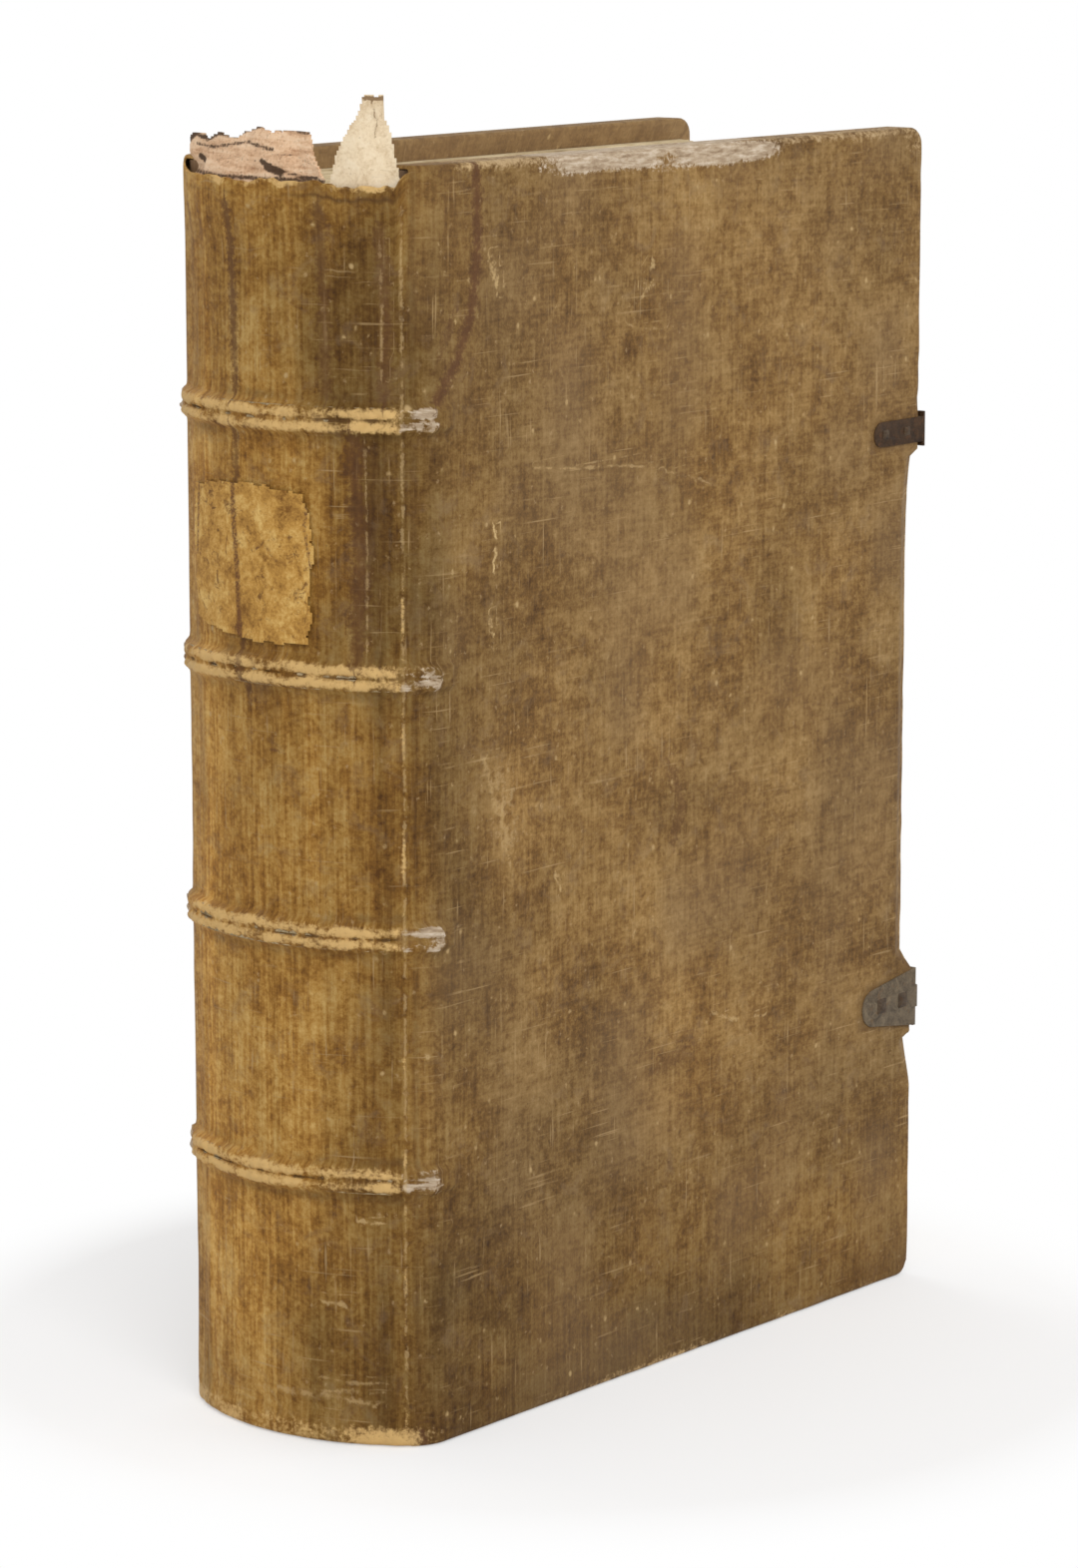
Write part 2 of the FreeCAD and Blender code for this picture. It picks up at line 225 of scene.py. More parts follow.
@dataclass
class Plan:
    """The book's plan: both joints and the arc of the spine between them, in mm."""

    front: Array = field(default_factory=lambda: Plan.joint("front_cover_hinge"))
    rear: Array = field(default_factory=lambda: Plan.joint("rear_cover_hinge"))

    @staticmethod
    def joint(name: str) -> Array:
        """Plan place of a hinge of the frame."""
        found = next(j for j in frame["joints"] if j["name"] == name)
        return np.array(found["pos_m"][:2]) / MM

    @property
    def half_angle(self) -> float:
        """Half the angle of the spine's arc."""
        return math.asin(np.linalg.norm(self.rear - self.front) / 2 / SIZES.spine_radius)

    @property
    def half_arc(self) -> float:
        """Length of the spine's arc from a joint to its middle."""
        return self.half_angle * SIZES.spine_radius

    @property
    def centre(self) -> Array:
        """Middle of the spine's arc.

        Returns:
            Its plan place in mm.
        """
        chord = self.rear - self.front
        outward = np.array([-chord[1], chord[0]]) / np.linalg.norm(chord)
        back = SIZES.spine_radius * math.cos(self.half_angle)
        return (self.front + self.rear) / 2 - outward * back

    def on_spine(self, place: Array, z: Array, out: Array | float) -> Array:
        """A point on the spine.

        Args:
            place: distance along the arc from the front joint, negative, in mm.
            z: height in mm.
            out: how far outside the arc.

        Returns:
            Points in mm, one a row.
        """
        centre = self.centre
        angle = math.atan2(*(self.front - centre)[::-1]) + place / SIZES.spine_radius
        r = SIZES.spine_radius + out
        return np.stack([centre[0] + r * np.cos(angle), centre[1] + r * np.sin(angle), z], -1)

    def on_cover(self, side: Side, x: Array, z: Array, depth: Array | float) -> Array:
        """A point of a cover.

        Args:
            side: which cover.
            x: distance from its joint towards the fore-edge, in mm.
            z: height in mm.
            depth: how far under its outer face.

        Returns:
            Points in mm, one a row.
        """
        joint, turn, sign = self.front, 0.0, 1.0
        if side is Side.REAR:
            joint, turn, sign = self.rear, math.radians(SIZES.splay_deg), -1.0
        cos, sin = math.cos(turn), math.sin(turn)
        d = sign * (depth - SIZES.joint_depth)
        return np.stack([joint[0] + x * cos - d * sin, joint[1] + x * sin + d * cos, z + 0 * x], -1)


PLAN = Plan()


# Tools of the bench

def pick(piece: Piece | None = None) -> None:
    """Leaves edit mode and selects one piece, or nothing.

    Args:
        piece: the piece to select, or none.
    """
    if bpy.context.object and bpy.context.object.mode != "OBJECT":
        bpy.ops.object.mode_set(mode="OBJECT")
    bpy.ops.object.select_all(action="DESELECT")
    if piece:
        piece.select_set(True)
        bpy.context.view_layer.objects.active = piece


@contextmanager
def editing(piece: Piece) -> Iterator[None]:
    """Edit mode with the whole of a piece selected.

    Args:
        piece: the piece.

    Returns:
        Nothing; the piece stays open for the block's steps.
    """
    pick(piece)
    bpy.ops.object.mode_set(mode="EDIT")
    bpy.ops.mesh.select_all(action="SELECT")
    yield
    bpy.ops.object.mode_set(mode="OBJECT")


def named(name: str) -> Piece:
    """The primitive that was just added, under its own name.

    Args:
        name: its name.

    Returns:
        The piece.
    """
    piece = bpy.context.object
    piece.name = piece.data.name = name
    return piece


def sheet_grid(name: str, columns: int, rows: int) -> Piece:
    """A flat grid to be wrapped, its points in rows from the lowest up.

    Args:
        name: its name.
        columns: points across.
        rows: points up.

    Returns:
        The grid.
    """
    pick()
    bpy.ops.mesh.primitive_grid_add(x_subdivisions=columns - 1, y_subdivisions=rows - 1, size=1)
    return named(name)


def set_points(piece: Piece, points: Array) -> None:
    """Puts a mesh's points at places given in mm."""
    piece.data.vertices.foreach_set("co", (points * MM).reshape(-1).astype(np.float32))
    piece.data.update()


def get_points(piece: Piece) -> Array:
    """A mesh's points in mm, one a row.

    Args:
        piece: the piece.

    Returns:
        The points.
    """
    points = np.zeros(len(piece.data.vertices) * 3, np.float32)
    piece.data.vertices.foreach_get("co", points)
    return points.reshape(-1, 3) / MM


def paint(piece: Piece, name: str, values: Iterable[Array], domain: str = "POINT") -> None:
    """Keeps three numbers at each point or face of a mesh under a name."""
    layer = piece.data.attributes.new(name, "FLOAT_VECTOR", domain)
    layer.data.foreach_set("vector", np.stack(values, -1).reshape(-1).astype(np.float32))


def drop_faces(piece: Piece, chosen: Array) -> None:
    """Deletes the faces that an array of true and false names.

    Args:
        piece: the piece.
        chosen: true for each face that goes.
    """
    pick(piece)
    bpy.context.tool_settings.mesh_select_mode = (False, False, True)
    piece.data.polygons.foreach_set("select", chosen)
    bpy.ops.object.mode_set(mode="EDIT")
    bpy.ops.mesh.delete(type="FACE")
    with editing(piece):
        bpy.ops.mesh.remove_doubles(threshold=1e-6)


def face_middles(piece: Piece, values: Array) -> Array:
    """Mean of a point value over each face's corners, for a mesh of quads.

    Args:
        piece: the piece.
        values: one for each point.

    Returns:
        One for each face.
    """
    corners = np.zeros(len(piece.data.loops), np.int32)
    piece.data.loops.foreach_get("vertex_index", corners)
    return values.reshape(-1).astype(float)[corners.reshape(-1, 4)].mean(1)


def make_modifier(piece: Piece, kind: str, **settings: object) -> None:
    """Adds a modifier and applies it.

    Args:
        piece: the piece.
        kind: the modifier's kind.
        settings: its settings.
    """
    pick(piece)
    modifier = piece.modifiers.new(kind.lower(), kind)
    for key, value in settings.items():
        setattr(modifier, key, value)
    bpy.ops.object.modifier_apply(modifier=modifier.name)


def smooth_shade(piece: Piece, degrees: float) -> None:
    """Shades smooth, apart from edges sharper than an angle."""
    pick(piece)
    bpy.ops.object.shade_smooth_by_angle(angle=math.radians(degrees))


def wear(piece: Piece, material: Material) -> None:
    """Gives a piece its only material.

    Args:
        piece: the piece.
        material: its finish.
    """
    piece.data.materials.clear()
    piece.data.materials.append(material)


def seat(piece: Piece, node: str, body: str) -> None:
    """Puts a finished piece in a node's place on a body.

    Args:
        piece: the piece.
        node: the node that it stands for.
        body: the body that it rides on.
    """
    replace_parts(piece, node)
    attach(piece, body)
    report(piece)


def report(piece: Piece) -> None:
    """Logs a finished piece."""
    LOG.info("%s: %d faces", piece.name, len(piece.data.polygons))


# Finishes

class Palette:
    """The nodes of one finish, with its patterns in millimetres."""

    def __init__(self, name: str, kind: str = "materials") -> None:
        """Starts an empty material, or an empty thing of another kind.

        Args:
            name: the finish's name.
            kind: which of the file's collections it joins.
        """
        self.holder = getattr(bpy.data, kind).new(name)
        self.holder.use_nodes = True
        self.nodes, self.links = self.holder.node_tree.nodes, self.holder.node_tree.links
        self.nodes.clear()

    def put(self, socket: Socket, value: object) -> None:
        """Links a socket to another, or sets its value.

        Args:
            socket: the input.
            value: a socket, a colour or a number.
        """
        if isinstance(value, bpy.types.NodeSocket):
            self.links.new(value, socket)
        elif isinstance(value, tuple) and socket.type == "RGBA":
            socket.default_value = (*value, 1)
        else:
            socket.default_value = value

    def node(self, kind: str, out: str | int, inputs: dict, **settings: object) -> Socket:
        """Adds a node.

        Args:
            kind: its kind.
            out: the output that is wanted.
            inputs: a value or a socket for each input that is used.
            settings: the node's own settings.

        Returns:
            The output.
        """
        node = self.nodes.new("ShaderNode" + kind)
        for key, value in settings.items():
            setattr(node, key, value)
        for key, value in inputs.items():
            self.put(node.inputs[key], value)
        return node.outputs[out]

    def own(self, name: str) -> list[Socket]:
        """The three numbers that the piece keeps under a name."""
        kept = self.node("Attribute", "Vector", {}, attribute_name=name)
        return [self.node("SeparateXYZ", axis, {0: kept}) for axis in "XYZ"]

    def place(self, name: str | None = None) -> Socket:
        """Coordinates in mm: the piece's own ones under a name, or the object's.

        Args:
            name: what the piece keeps them under, or none.

        Returns:
            The coordinates.
        """
        if name:
            return self.stretch(self.node("Attribute", "Vector", {}, attribute_name=name), (1000,) * 3)
        return self.stretch(self.node("TexCoord", "Object", {}), (1000,) * 3)

    def stretch(self, vector: Socket, scale: Colour) -> Socket:
        """A vector times three numbers."""
        return self.node("VectorMath", 0, {0: vector, 1: scale}, operation="MULTIPLY")

    def noise(self, vector: Socket, size: float, detail: float = 3, rough: float = 0.55,
              bend: float = 0.0) -> Socket:
        """Clouds of a size in mm, as values about 0.5."""
        return self.node("TexNoise", "Fac", {"Vector": vector, "Scale": 1 / size, "Detail": detail,
                                             "Roughness": rough, "Distortion": bend})

    def cells(self, vector: Socket, size: float) -> Socket:
        """Distance to scattered points, a size in mm apart."""
        return self.node("TexVoronoi", "Distance", {"Vector": vector, "Scale": 1 / size})

    def sum(self, kind: str, a: object, b: object = 0.0, clamp: bool = False) -> Socket:
        """A sum of two values, of the kind that the Math node names."""
        return self.node("Math", 0, {0: a, 1: b}, operation=kind, use_clamp=clamp)

    def times(self, a: object, b: object) -> Socket:
        """One value times another."""
        return self.sum("MULTIPLY", a, b)

    def weigh(self, *terms: tuple[object, float]) -> Socket:
        """The sum of values that each count with a share of their own.

        Args:
            terms: each value with its share.

        Returns:
            The sum.
        """
        parts = [self.times(value, share) for value, share in terms]
        total = parts[0]
        for part in parts[1:]:
            total = self.sum("ADD", total, part)
        return total

    def fray(self, value: object, clouds: Socket, amount: float) -> Socket:
        """A value that clouds about 0.5 make uneven by an amount."""
        return self.sum("ADD", value, self.times(self.sum("SUBTRACT", clouds, 0.5), amount))

    def rise(self, value: object, low: float, high: float, top: float = 1.0) -> Socket:
        """Rises smoothly from 0 at low to top at high."""
        inputs = {"Value": value, "From Min": low, "From Max": high, "To Max": top}
        return self.node("MapRange", "Result", inputs, interpolation_type="SMOOTHSTEP")

    def both(self, share: object, a: object, b: object, kind: str = "MIX") -> Socket:
        """A mix of two colours."""
        inputs = {0: share, 6: a, 7: b}
        return self.node("Mix", 2, inputs, data_type="RGBA", blend_type=kind)

    def shades(self, value: object, *stops: tuple[float, Colour]) -> Socket:
        """A colour for a value.

        Args:
            value: the value.
            stops: a value and its colour each, from low to high.

        Returns:
            The colour.
        """
        node = self.nodes.new("ShaderNodeValToRGB")
        ramp = node.color_ramp
        while len(ramp.elements) < len(stops):
            ramp.elements.new(0.5)
        for element, (at, colour) in zip(ramp.elements, stops):
            element.position = at
            element.color = (*colour, 1)
        self.put(node.inputs[0], value)
        return node.outputs["Color"]

    def relief(self, height: Socket, depth: float, before: Socket | None = None) -> Socket:
        """A bump of so many mm, over another one where there is one."""
        inputs = {"Strength": 1.0, "Distance": depth * MM, "Height": height}
        return self.node("Bump", "Normal", inputs | ({"Normal": before} if before else {}))

    def surface(self, colour: object, rough: object, shine: float, normal: Socket | None = None,
                metallic: float = 0.0) -> Socket:
        """A lit surface.

        Args:
            colour: its base colour.
            rough: its roughness.
            shine: the level of its highlights.
            normal: its relief.
            metallic: how much of a metal it is.

        Returns:
            The shader.
        """
        inputs = {"Base Color": colour, "Roughness": rough, "Metallic": metallic,
                  "Specular IOR Level": shine}
        return self.node("BsdfPrincipled", 0, inputs | ({"Normal": normal} if normal else {}))

    def seen(self) -> Socket:
        """1 where the camera looks, straight, in a mirror or through glass.

        Returns:
            The share.
        """
        path = self.nodes.new("ShaderNodeLightPath").outputs
        either = self.sum("MAXIMUM", path["Is Camera Ray"], path["Is Glossy Ray"])
        return self.sum("MAXIMUM", either, path["Is Transmission Ray"])

    def close(self, shader: Socket, kind: str = "Material") -> bpy.types.ID:
        """Ends the nodes with a shader, and gives back the material or other thing that has them."""
        self.links.new(shader, self.nodes.new("ShaderNodeOutput" + kind).inputs[0])
        return self.holder


@dataclass(frozen=True)
class LeatherFinish:
    """Old tan leather: mottled, streaked on the spine, rubbed pale, stained and scratched."""

    name: str = "old_leather"
    stops: tuple[float, ...] = (0.38, 0.49, 0.56, 0.67)
    board: tuple[Colour, ...] = ((0.070, 0.033, 0.010), (0.148, 0.078, 0.023),
                                 (0.218, 0.127, 0.043), (0.305, 0.192, 0.078))
    spine: tuple[Colour, ...] = ((0.110, 0.043, 0.007), (0.245, 0.113, 0.019),
                                 (0.352, 0.189, 0.042), (0.475, 0.302, 0.098))
    pale: Colour = (0.610, 0.395, 0.155)
    worn: Colour = (0.440, 0.315, 0.175)
    hide: tuple[Colour, ...] = ((0.23, 0.155, 0.095), (0.430, 0.330, 0.225), (0.62, 0.52, 0.41))
    dark: Colour = (0.060, 0.026, 0.008)
    dust: Colour = (0.190, 0.122, 0.064)
    fleck: Colour = (0.43, 0.295, 0.135)
    chip: Colour = (0.36, 0.245, 0.125)
    scratch: Colour = (0.36, 0.24, 0.11)
    line: Colour = (0.52, 0.36, 0.165)
    ink: tuple[Colour, ...] = ((0.050, 0.024, 0.010), (0.150, 0.062, 0.022))
    groove: Colour = (0.095, 0.045, 0.014)

    def make(self) -> Material:
        """Builds the material.

        Returns:
            The finish for every skin of the book.
        """
        p = Palette(self.name)
        at = p.place("skin")
        rub, grime_and_shade, bare = p.own("wear")
        off, line, warm = p.own("pale_marks")
        stain_off, stain, groove = p.own("dark_marks")
        shade, grey, _ = p.own("tones")
        mid, fine = p.noise(at, 5, 5, 0.66, 0.3), p.noise(at, 1.3, 4, 0.7)
        fibres = p.noise(p.stretch(at, (1, 0.05, 1)), 1.3, 4, 0.6)
        weft = p.noise(p.stretch(at, (0.06, 1, 1)), 1.2, 3, 0.6)
        # Mottled ground, dust, and dirt with painted shade
        mottle = p.weigh((p.noise(at, 30, 5, 0.6, 0.4), 0.36), (mid, 0.38), (fine, 0.32))
        flat = p.shades(p.fray(p.fray(mottle, fibres, 0.165), weft, 0.16), *zip(self.stops, self.board))
        back = p.shades(p.fray(mottle, fibres, 0.352), *zip(self.stops, self.spine))
        colour = p.both(1.0, p.both(warm, flat, back), p.sum("ADD", 1.0, shade), "MULTIPLY")
        dust = p.rise(p.noise(at, 9, 5, 0.72, 0.8), 0.50, 0.70, 0.34)
        colour = p.both(p.sum("MAXIMUM", dust, grey), colour, self.dust)
        # Dirt, and painted shade along the joint and under the torn head, darken the colour here.
        colour = p.both(p.rise(p.fray(grime_and_shade, mid, 0.9), 0.12, 0.95, 0.72), colour, self.dark)
        # Flecks, chips and pores, then scratches both ways
        for tall, apart, rim, core, share, clouds, low, high, tint in (
                (0.8, 5.5, 0.17, 0.05, 0.85, mid, 0.47, 0.62, self.fleck),
                (0.7, 3.0, 0.24, 0.08, 0.50, fine, 0.48, 0.62, self.chip),
                (1.0, 2.4, 0.20, 0.06, 0.45, fine, 0.45, 0.60, self.dark)):
            dots = p.rise(p.cells(p.stretch(at, (1, tall, 1)), apart), rim, core, share)
            colour = p.both(p.times(dots, p.rise(clouds, low, high)), colour, tint)
        for scale, size in (((0.03, 1, 1), 1.0), ((1, 0.035, 1), 1.1)):
            scratch = p.rise(p.noise(p.stretch(at, scale), size, 2, 0.5), 0.635, 0.70)
            scratch = p.times(scratch, p.rise(p.noise(at, 14, 3), 0.42, 0.64, 0.58))
            colour = p.both(scratch, colour, self.scratch)
        # Rubbed and bare places
        rubbed = p.rise(p.fray(p.fray(rub, fine, 1.3), mid, 0.7), 0.32, 0.80, 0.92)
        rubbed = p.times(rubbed, p.rise(rub, 0.02, 0.2))
        colour = p.both(rubbed, colour, p.both(warm, self.worn, self.pale))
        chip = p.times(p.rise(p.fray(bare, fine, 1.2), 0.40, 0.62, 0.9), p.rise(bare, 0.02, 0.2))
        hide = p.noise(p.stretch(at, (0.22, 1, 1)), 1.3, 5, 0.7)
        colour = p.both(chip, colour, p.shades(hide, *zip((0.34, 0.5, 0.66), self.hide)))
        # Strokes, and the groove between two cords
        rag = p.weigh((fine, 0.55), (mid, 0.45))
        line = p.times(line, p.rise(p.noise(at, 3.5, 3), 0.40, 0.56, 1.1))
        colour = p.both(self.mark(p, off, line, rag, 9.0), colour, self.line)
        colour = p.both(self.mark(p, stain_off, stain, rag, 5.0), colour, p.both(mid, *self.ink))
        gap = p.times(p.rise(p.fray(groove, fine, 1.5), 0.50, 0.85, 0.85), p.rise(groove, 0.05, 0.3))
        colour = p.both(gap, colour, self.groove)
        relief = p.weigh((fine, 0.6), (p.noise(at, 0.55, 2, 0.6), 0.4), (p.times(fibres, warm), 0.8),
                         (gap, -0.8))
        normal = p.relief(mid, 0.35, p.relief(relief, 0.22))
        rough = p.sum("ADD", 0.56, p.times(fine, 0.25))
        return p.close(p.surface(colour, rough, 0.14, normal))

    @staticmethod
    def mark(p: Palette, off: Socket, strength: Socket, rag: Socket, fray: float) -> Socket:
        """Where a stroke shows: its distance, strength, and the clouds that fray its sides."""
        edge = p.fray(p.sum("ABSOLUTE", off), rag, fray)
        return p.sum("MULTIPLY", p.rise(edge, 1.25, 0.15), strength, clamp=True)


@dataclass(frozen=True)
class LeavesFinish:
    """Cut edges of old paper, with the line of each gathering, and the open page."""

    name: str = "leaf_edges"
    edges: tuple[Colour, ...] = ((0.26, 0.18, 0.09), (0.50, 0.39, 0.23), (0.66, 0.55, 0.36),
                                 (0.76, 0.67, 0.48))
    blot: Colour = (0.34, 0.24, 0.13)
    page: tuple[Colour, ...] = ((0.56, 0.45, 0.28), (0.70, 0.60, 0.42))
    spot: Colour = (0.40, 0.27, 0.13)

    def make(self) -> Material:
        """Builds the material.

        Returns:
            The finish for the edges, and for the faces that the leaves keep as pages.
        """
        p = Palette(self.name)
        at = p.place()
        page = p.own("page")[0]
        leaf = p.noise(p.stretch(at, (0.02, 1, 0.02)), 0.35, 3, 0.7)
        pile = p.noise(p.stretch(at, (0.10, 1, 0.02)), 3.0, 3, 0.6)
        blot = p.noise(at, 24, 4, 0.6, 0.5)
        value = p.weigh((leaf, 0.5), (pile, 0.5))
        edges = p.shades(value, *zip((0.30, 0.45, 0.58, 0.75), self.edges))
        edges = p.both(p.rise(blot, 0.50, 0.80, 0.30), edges, self.blot)
        age = p.shades(p.noise(at, 70, 4, 0.62, 0.4), *zip((0.36, 0.62), self.page))
        spots = p.times(p.rise(p.cells(at, 13), 0.13, 0.04, 0.5), p.rise(blot, 0.46, 0.6))
        colour = p.both(page, edges, p.both(spots, age, self.spot))
        relief = p.relief(p.times(value, p.sum("SUBTRACT", 1.0, page)), 0.35)
        return p.close(p.surface(colour, 0.86, 0.2, relief))


@dataclass(frozen=True)
class SheetFinish:
    """Skin or paper in one main colour, with fibres and blots, and the dark lines that a piece keeps:
    painted shade in its folds and hollows, its torn rim and its streaks.
    """

    name: str
    tones: tuple[Colour, ...]
    blot: Colour
    blots: float
    size: float
    rough: float
    layers: float = 1.0
    crease: Colour | None = None

    def make(self) -> Material:
        """Builds the material.

        Returns:
            The finish.
        """
        p = Palette(self.name)
        at = p.place()
        mid = p.noise(p.stretch(at, (self.layers, self.layers, 1)), self.size, 5, 0.6, 0.5)
        fine = p.noise(at, 0.8, 4, 0.65)
        value = p.weigh((mid, 0.65), (fine, 0.35))
        colour = p.shades(value, *zip((0.33, 0.50, 0.68), self.tones))
        spots = p.rise(p.noise(at, self.size * 0.7, 5, 0.7, 1.0), 0.54, 0.68, self.blots)
        colour = p.both(spots, colour, self.blot)
        colour = p.both(p.rise(p.cells(at, 1.9), 0.22, 0.08, 0.35), colour, self.blot)
        # Painted shade in folds and hollows, a dark torn rim and dark streaks, where the piece keeps such
        # strokes.
        if self.crease:
            deep = p.fray(p.own("shade_and_streaks")[0], fine, 1.4)
            colour = p.both(p.rise(deep, 0.30, 0.75, 0.92), colour, self.crease)
        return p.close(p.surface(colour, self.rough, 0.2, p.relief(value, 0.35)))


@dataclass(frozen=True)
class WoodFinish:
    """Board or peg wood, its grain from tail to head."""

    name: str
    dark: Colour
    light: Colour

    def make(self) -> Material:
        """Builds the material.

        Returns:
            The finish.
        """
        p = Palette(self.name)
        at = p.place()
        rings = p.noise(p.stretch(at, (1, 1, 0.04)), 3.0, 5, 0.6, 0.6)
        value = p.weigh((rings, 0.7), (p.noise(p.stretch(at, (1, 1, 0.08)), 0.5, 3, 0.6), 0.3))
        colour = p.shades(value, (0.35, self.dark), (0.65, self.light))
        return p.close(p.surface(colour, 0.7, 0.3, p.relief(value, 0.3)))


@dataclass(frozen=True)
class CordFinish:
    """Old hemp, its strands laid askew."""

    name: str = "hemp"
    deep: Colour = (0.20, 0.14, 0.07)
    light: Colour = (0.46, 0.36, 0.21)
    dirt: Colour = (0.14, 0.09, 0.04)

    def make(self) -> Material:
        """Builds the material.

        Returns:
            The finish.
        """
        p = Palette(self.name)
        at = p.place()
        strand = p.noise(p.stretch(at, (0.9, 0.5, 1.4)), 0.9, 3, 0.6, 1.5)
        colour = p.shades(strand, (0.35, self.deep), (0.6, self.light))
        colour = p.both(p.rise(p.noise(at, 6, 4), 0.5, 0.7, 0.5), colour, self.dirt)
        return p.close(p.surface(colour, 0.9, 0.15, p.relief(strand, 0.5)))


@dataclass(frozen=True)
class MetalFinish:
    """Forged sheet metal under an old skin of oxide."""

    name: str
    base: Colour
    light: Colour
    rust: Colour

    def make(self) -> Material:
        """Builds the material.

        Returns:
            The finish.
        """
        p = Palette(self.name)
        at = p.place()
        coat = p.noise(at, 3.2, 5, 0.65, 0.6)
        value = p.weigh((coat, 0.7), (p.noise(at, 0.6, 3, 0.6), 0.3))
        colour = p.shades(value, (0.38, self.base), (0.66, self.light))
        colour = p.both(p.rise(p.noise(at, 2.0, 4, 0.7), 0.54, 0.68, 0.6), colour, self.rust)
        rough = p.sum("ADD", 0.42, p.times(coat, 0.3))
        return p.close(p.surface(colour, rough, 0.16, p.relief(value, 0.25), metallic=0.12))


# The leather

@dataclass
class AgeingAndShade:
    """What use did to a skin, and the shade painted on it: a share for each point, from its place and form.
    """

    front: bool
    x: Array
    v: Array
    place: Array
    ring: Array
    lip: Array
    on_spine: Array
    crest: Array
    groove: Array
    end: Array
    tear_height: Spot = (336.2, 337.8)
    tail_cap: Spot = (3.5, 8.5)
    bare_strip: tuple[float, ...] = (36, 62, 142, 168)
    head_gap: float = 334.9

    def rubbed(self) -> Array:
        """Where the leather is rubbed pale.

        Returns:
            The strongest of crests, torn edge, tail cap, borders, corners and the joint's crease.
        """
        x, v, place, on_spine = self.x, self.v, self.place, self.on_spine
        border = np.where(self.ring > 0, fall(self.ring, 4, 7), fall(self.lip, 0.5, 4.5))
        corner = np.hypot(SIZES.width - place, (SIZES.height - v) * 1.2)
        crease = hill(place, -1.4, 0.7) * (1 - self.crest) * (1 - 0.7 * smooth(v, 268, 282))
        parts = [
            (self.crest ** 1.3 * (0.74 + 0.30 * cloud(x, v, 5, 3, 20))
             * (1 - 0.9 * smooth(self.end, 0.55, 1))),
            on_spine * smooth(v, *self.tear_height) * (0.50 + 0.5 * cloud(x, v, 6, 6, 19)),
            fall(v, *self.tail_cap) * fall(place, 0, 14) * (0.62 + 0.3 * cloud(x, v, 9, 5, 22)),
            border * (1 - on_spine) * (0.45 + 0.45 * cloud(x, v, 14, 14, 21)) * 0.75,
            fall(corner, 5, 18) * 0.42,
            crease * (0.30 + 0.42 * cloud(x, v, 9, 7, 23)),
        ]
        if self.front:
            parts.append(smooth(place, 8, 20) * smooth(v, 336, 339) * 0.5)
        return np.max(parts, axis=0)

    def bared(self) -> Array:
        """Where the grain is gone: the bands' ends, and a strip at the head of the front cover.

        Returns:
            A share for each point.
        """
        x, v = self.x, self.v
        bare = smooth(self.end, 0.1, 0.7) * (0.58 + 0.3 * cloud(x, v, 2.4, 2.4, 37))
        start, full, wane, stop = self.bare_strip
        strip = self.front * smooth(self.place, start, full) * fall(self.place, wane, stop)
        return np.maximum(bare, strip * smooth(v, 330.5, 337) * (0.72 + 0.4 * cloud(x, v, 12, 4, 24)))

    def soiled_and_shaded(self) -> Array:
        """Where the leather is darker: dirt, and painted shade.

        Returns:
            The strongest of the bands' feet, painted shade along the joint's crease and in the gap under the
            torn head, a darker strip beside the joint, darker towards the tail, the plates' rims and large
            stains.
        """
        x, v, place, on_spine = self.x, self.v, self.place, self.on_spine
        foot = np.min([np.abs(np.abs(v - band) - 5.2) for band in SIZES.bands], axis=0)
        # Painted shade in the gap between the spine's torn top and the turn-in above it.
        gap = hill(v, self.head_gap + 0.6 * ripple(x, 9, 36), 0.8)
        dull = hill(place, -8, 5.5) * (0.33 + 0.22 * cloud(x, v, 7, 40, 26))
        parts = [
            hill(foot, 0, 1.9) * on_spine * (0.34 + 0.3 * cloud(x, v, 12, 9, 25)),
            # Painted shade along the joint's crease, on the cover's side.
            hill(place, 1.6, 1.5) * 0.42,
            gap * on_spine * (0.55 + 0.45 * ripple(x, 5, 35)),
            dull * (1 - self.crest),
            fall(v, 0, 42) * (1 - on_spine) * (0.30 + 0.15 * cloud(x, v, 30, 16, 27)),
            np.clip(cloud(x, v, 38, 52, 28), 0, 1) * 0.24,
        ]
        if self.front:
            for plate in SIZES.plates:
                along = np.clip((SIZES.width - place) / plate.reach, 0, 1)
                half = plate.edge_half + (plate.tip_half - plate.edge_half) * along
                beside = np.maximum(np.abs(v - plate.height) - half, SIZES.width - plate.reach - place)
                parts.append(hill(np.maximum(beside, 0), 0, 0.9) * 0.62)
        return np.max(parts, axis=0)

    def warmed(self) -> Array:
        """How much of the spine's warm colour each point has.

        Returns:
            A share for each point.
        """
        warm = 0.96 * fall(self.place, -4, 14) + 0.11 * (1 + cloud(self.x, self.v, 45, 60, 29))
        warm = warm - smooth(-self.x, 62, 76) * 0.55
        warm = np.maximum(warm, fall(self.v, 20, 75) * 0.5)
        return np.maximum(warm, fall(self.place, 8, 45) * 0.42 * (self.place > 0))

    def shaded(self, patches: tuple[Patch, ...]) -> Array:
        """How much paler or darker than the finish each point is, from its patches.

        Args:
            patches: the areas that are paler or darker.

        Returns:
            An amount for each point.
        """
        x, v = self.x, self.v
        shade = 0.10 * cloud(x, v, 28, 34, 30) + 0.07 * cloud(x, v, 11, 13, 31)
        for place, height, half_x, half_z, amount in patches:
            shade = shade + amount * hill(x, place, half_x) * hill(v, height, half_z)
        shade = shade + self.on_spine * 0.10 * cloud(x, v, 2.2, 60, 32)
        return np.clip(shade + 0.46 * self.turned(), -0.6, 0.7)

    def turned(self) -> Array:
        """The strip that is turned in under the pastedown."""
        return smooth(self.ring, 8, 11) * (1 - self.on_spine)

    def greyed(self) -> Array:
        """Where the leather is grey with dust."""
        grey = np.clip(cloud(self.x, self.v, 24, 30, 33), 0, 1) * 0.36 * (1 - self.on_spine)
        return np.maximum(grey, 0.55 * self.turned())

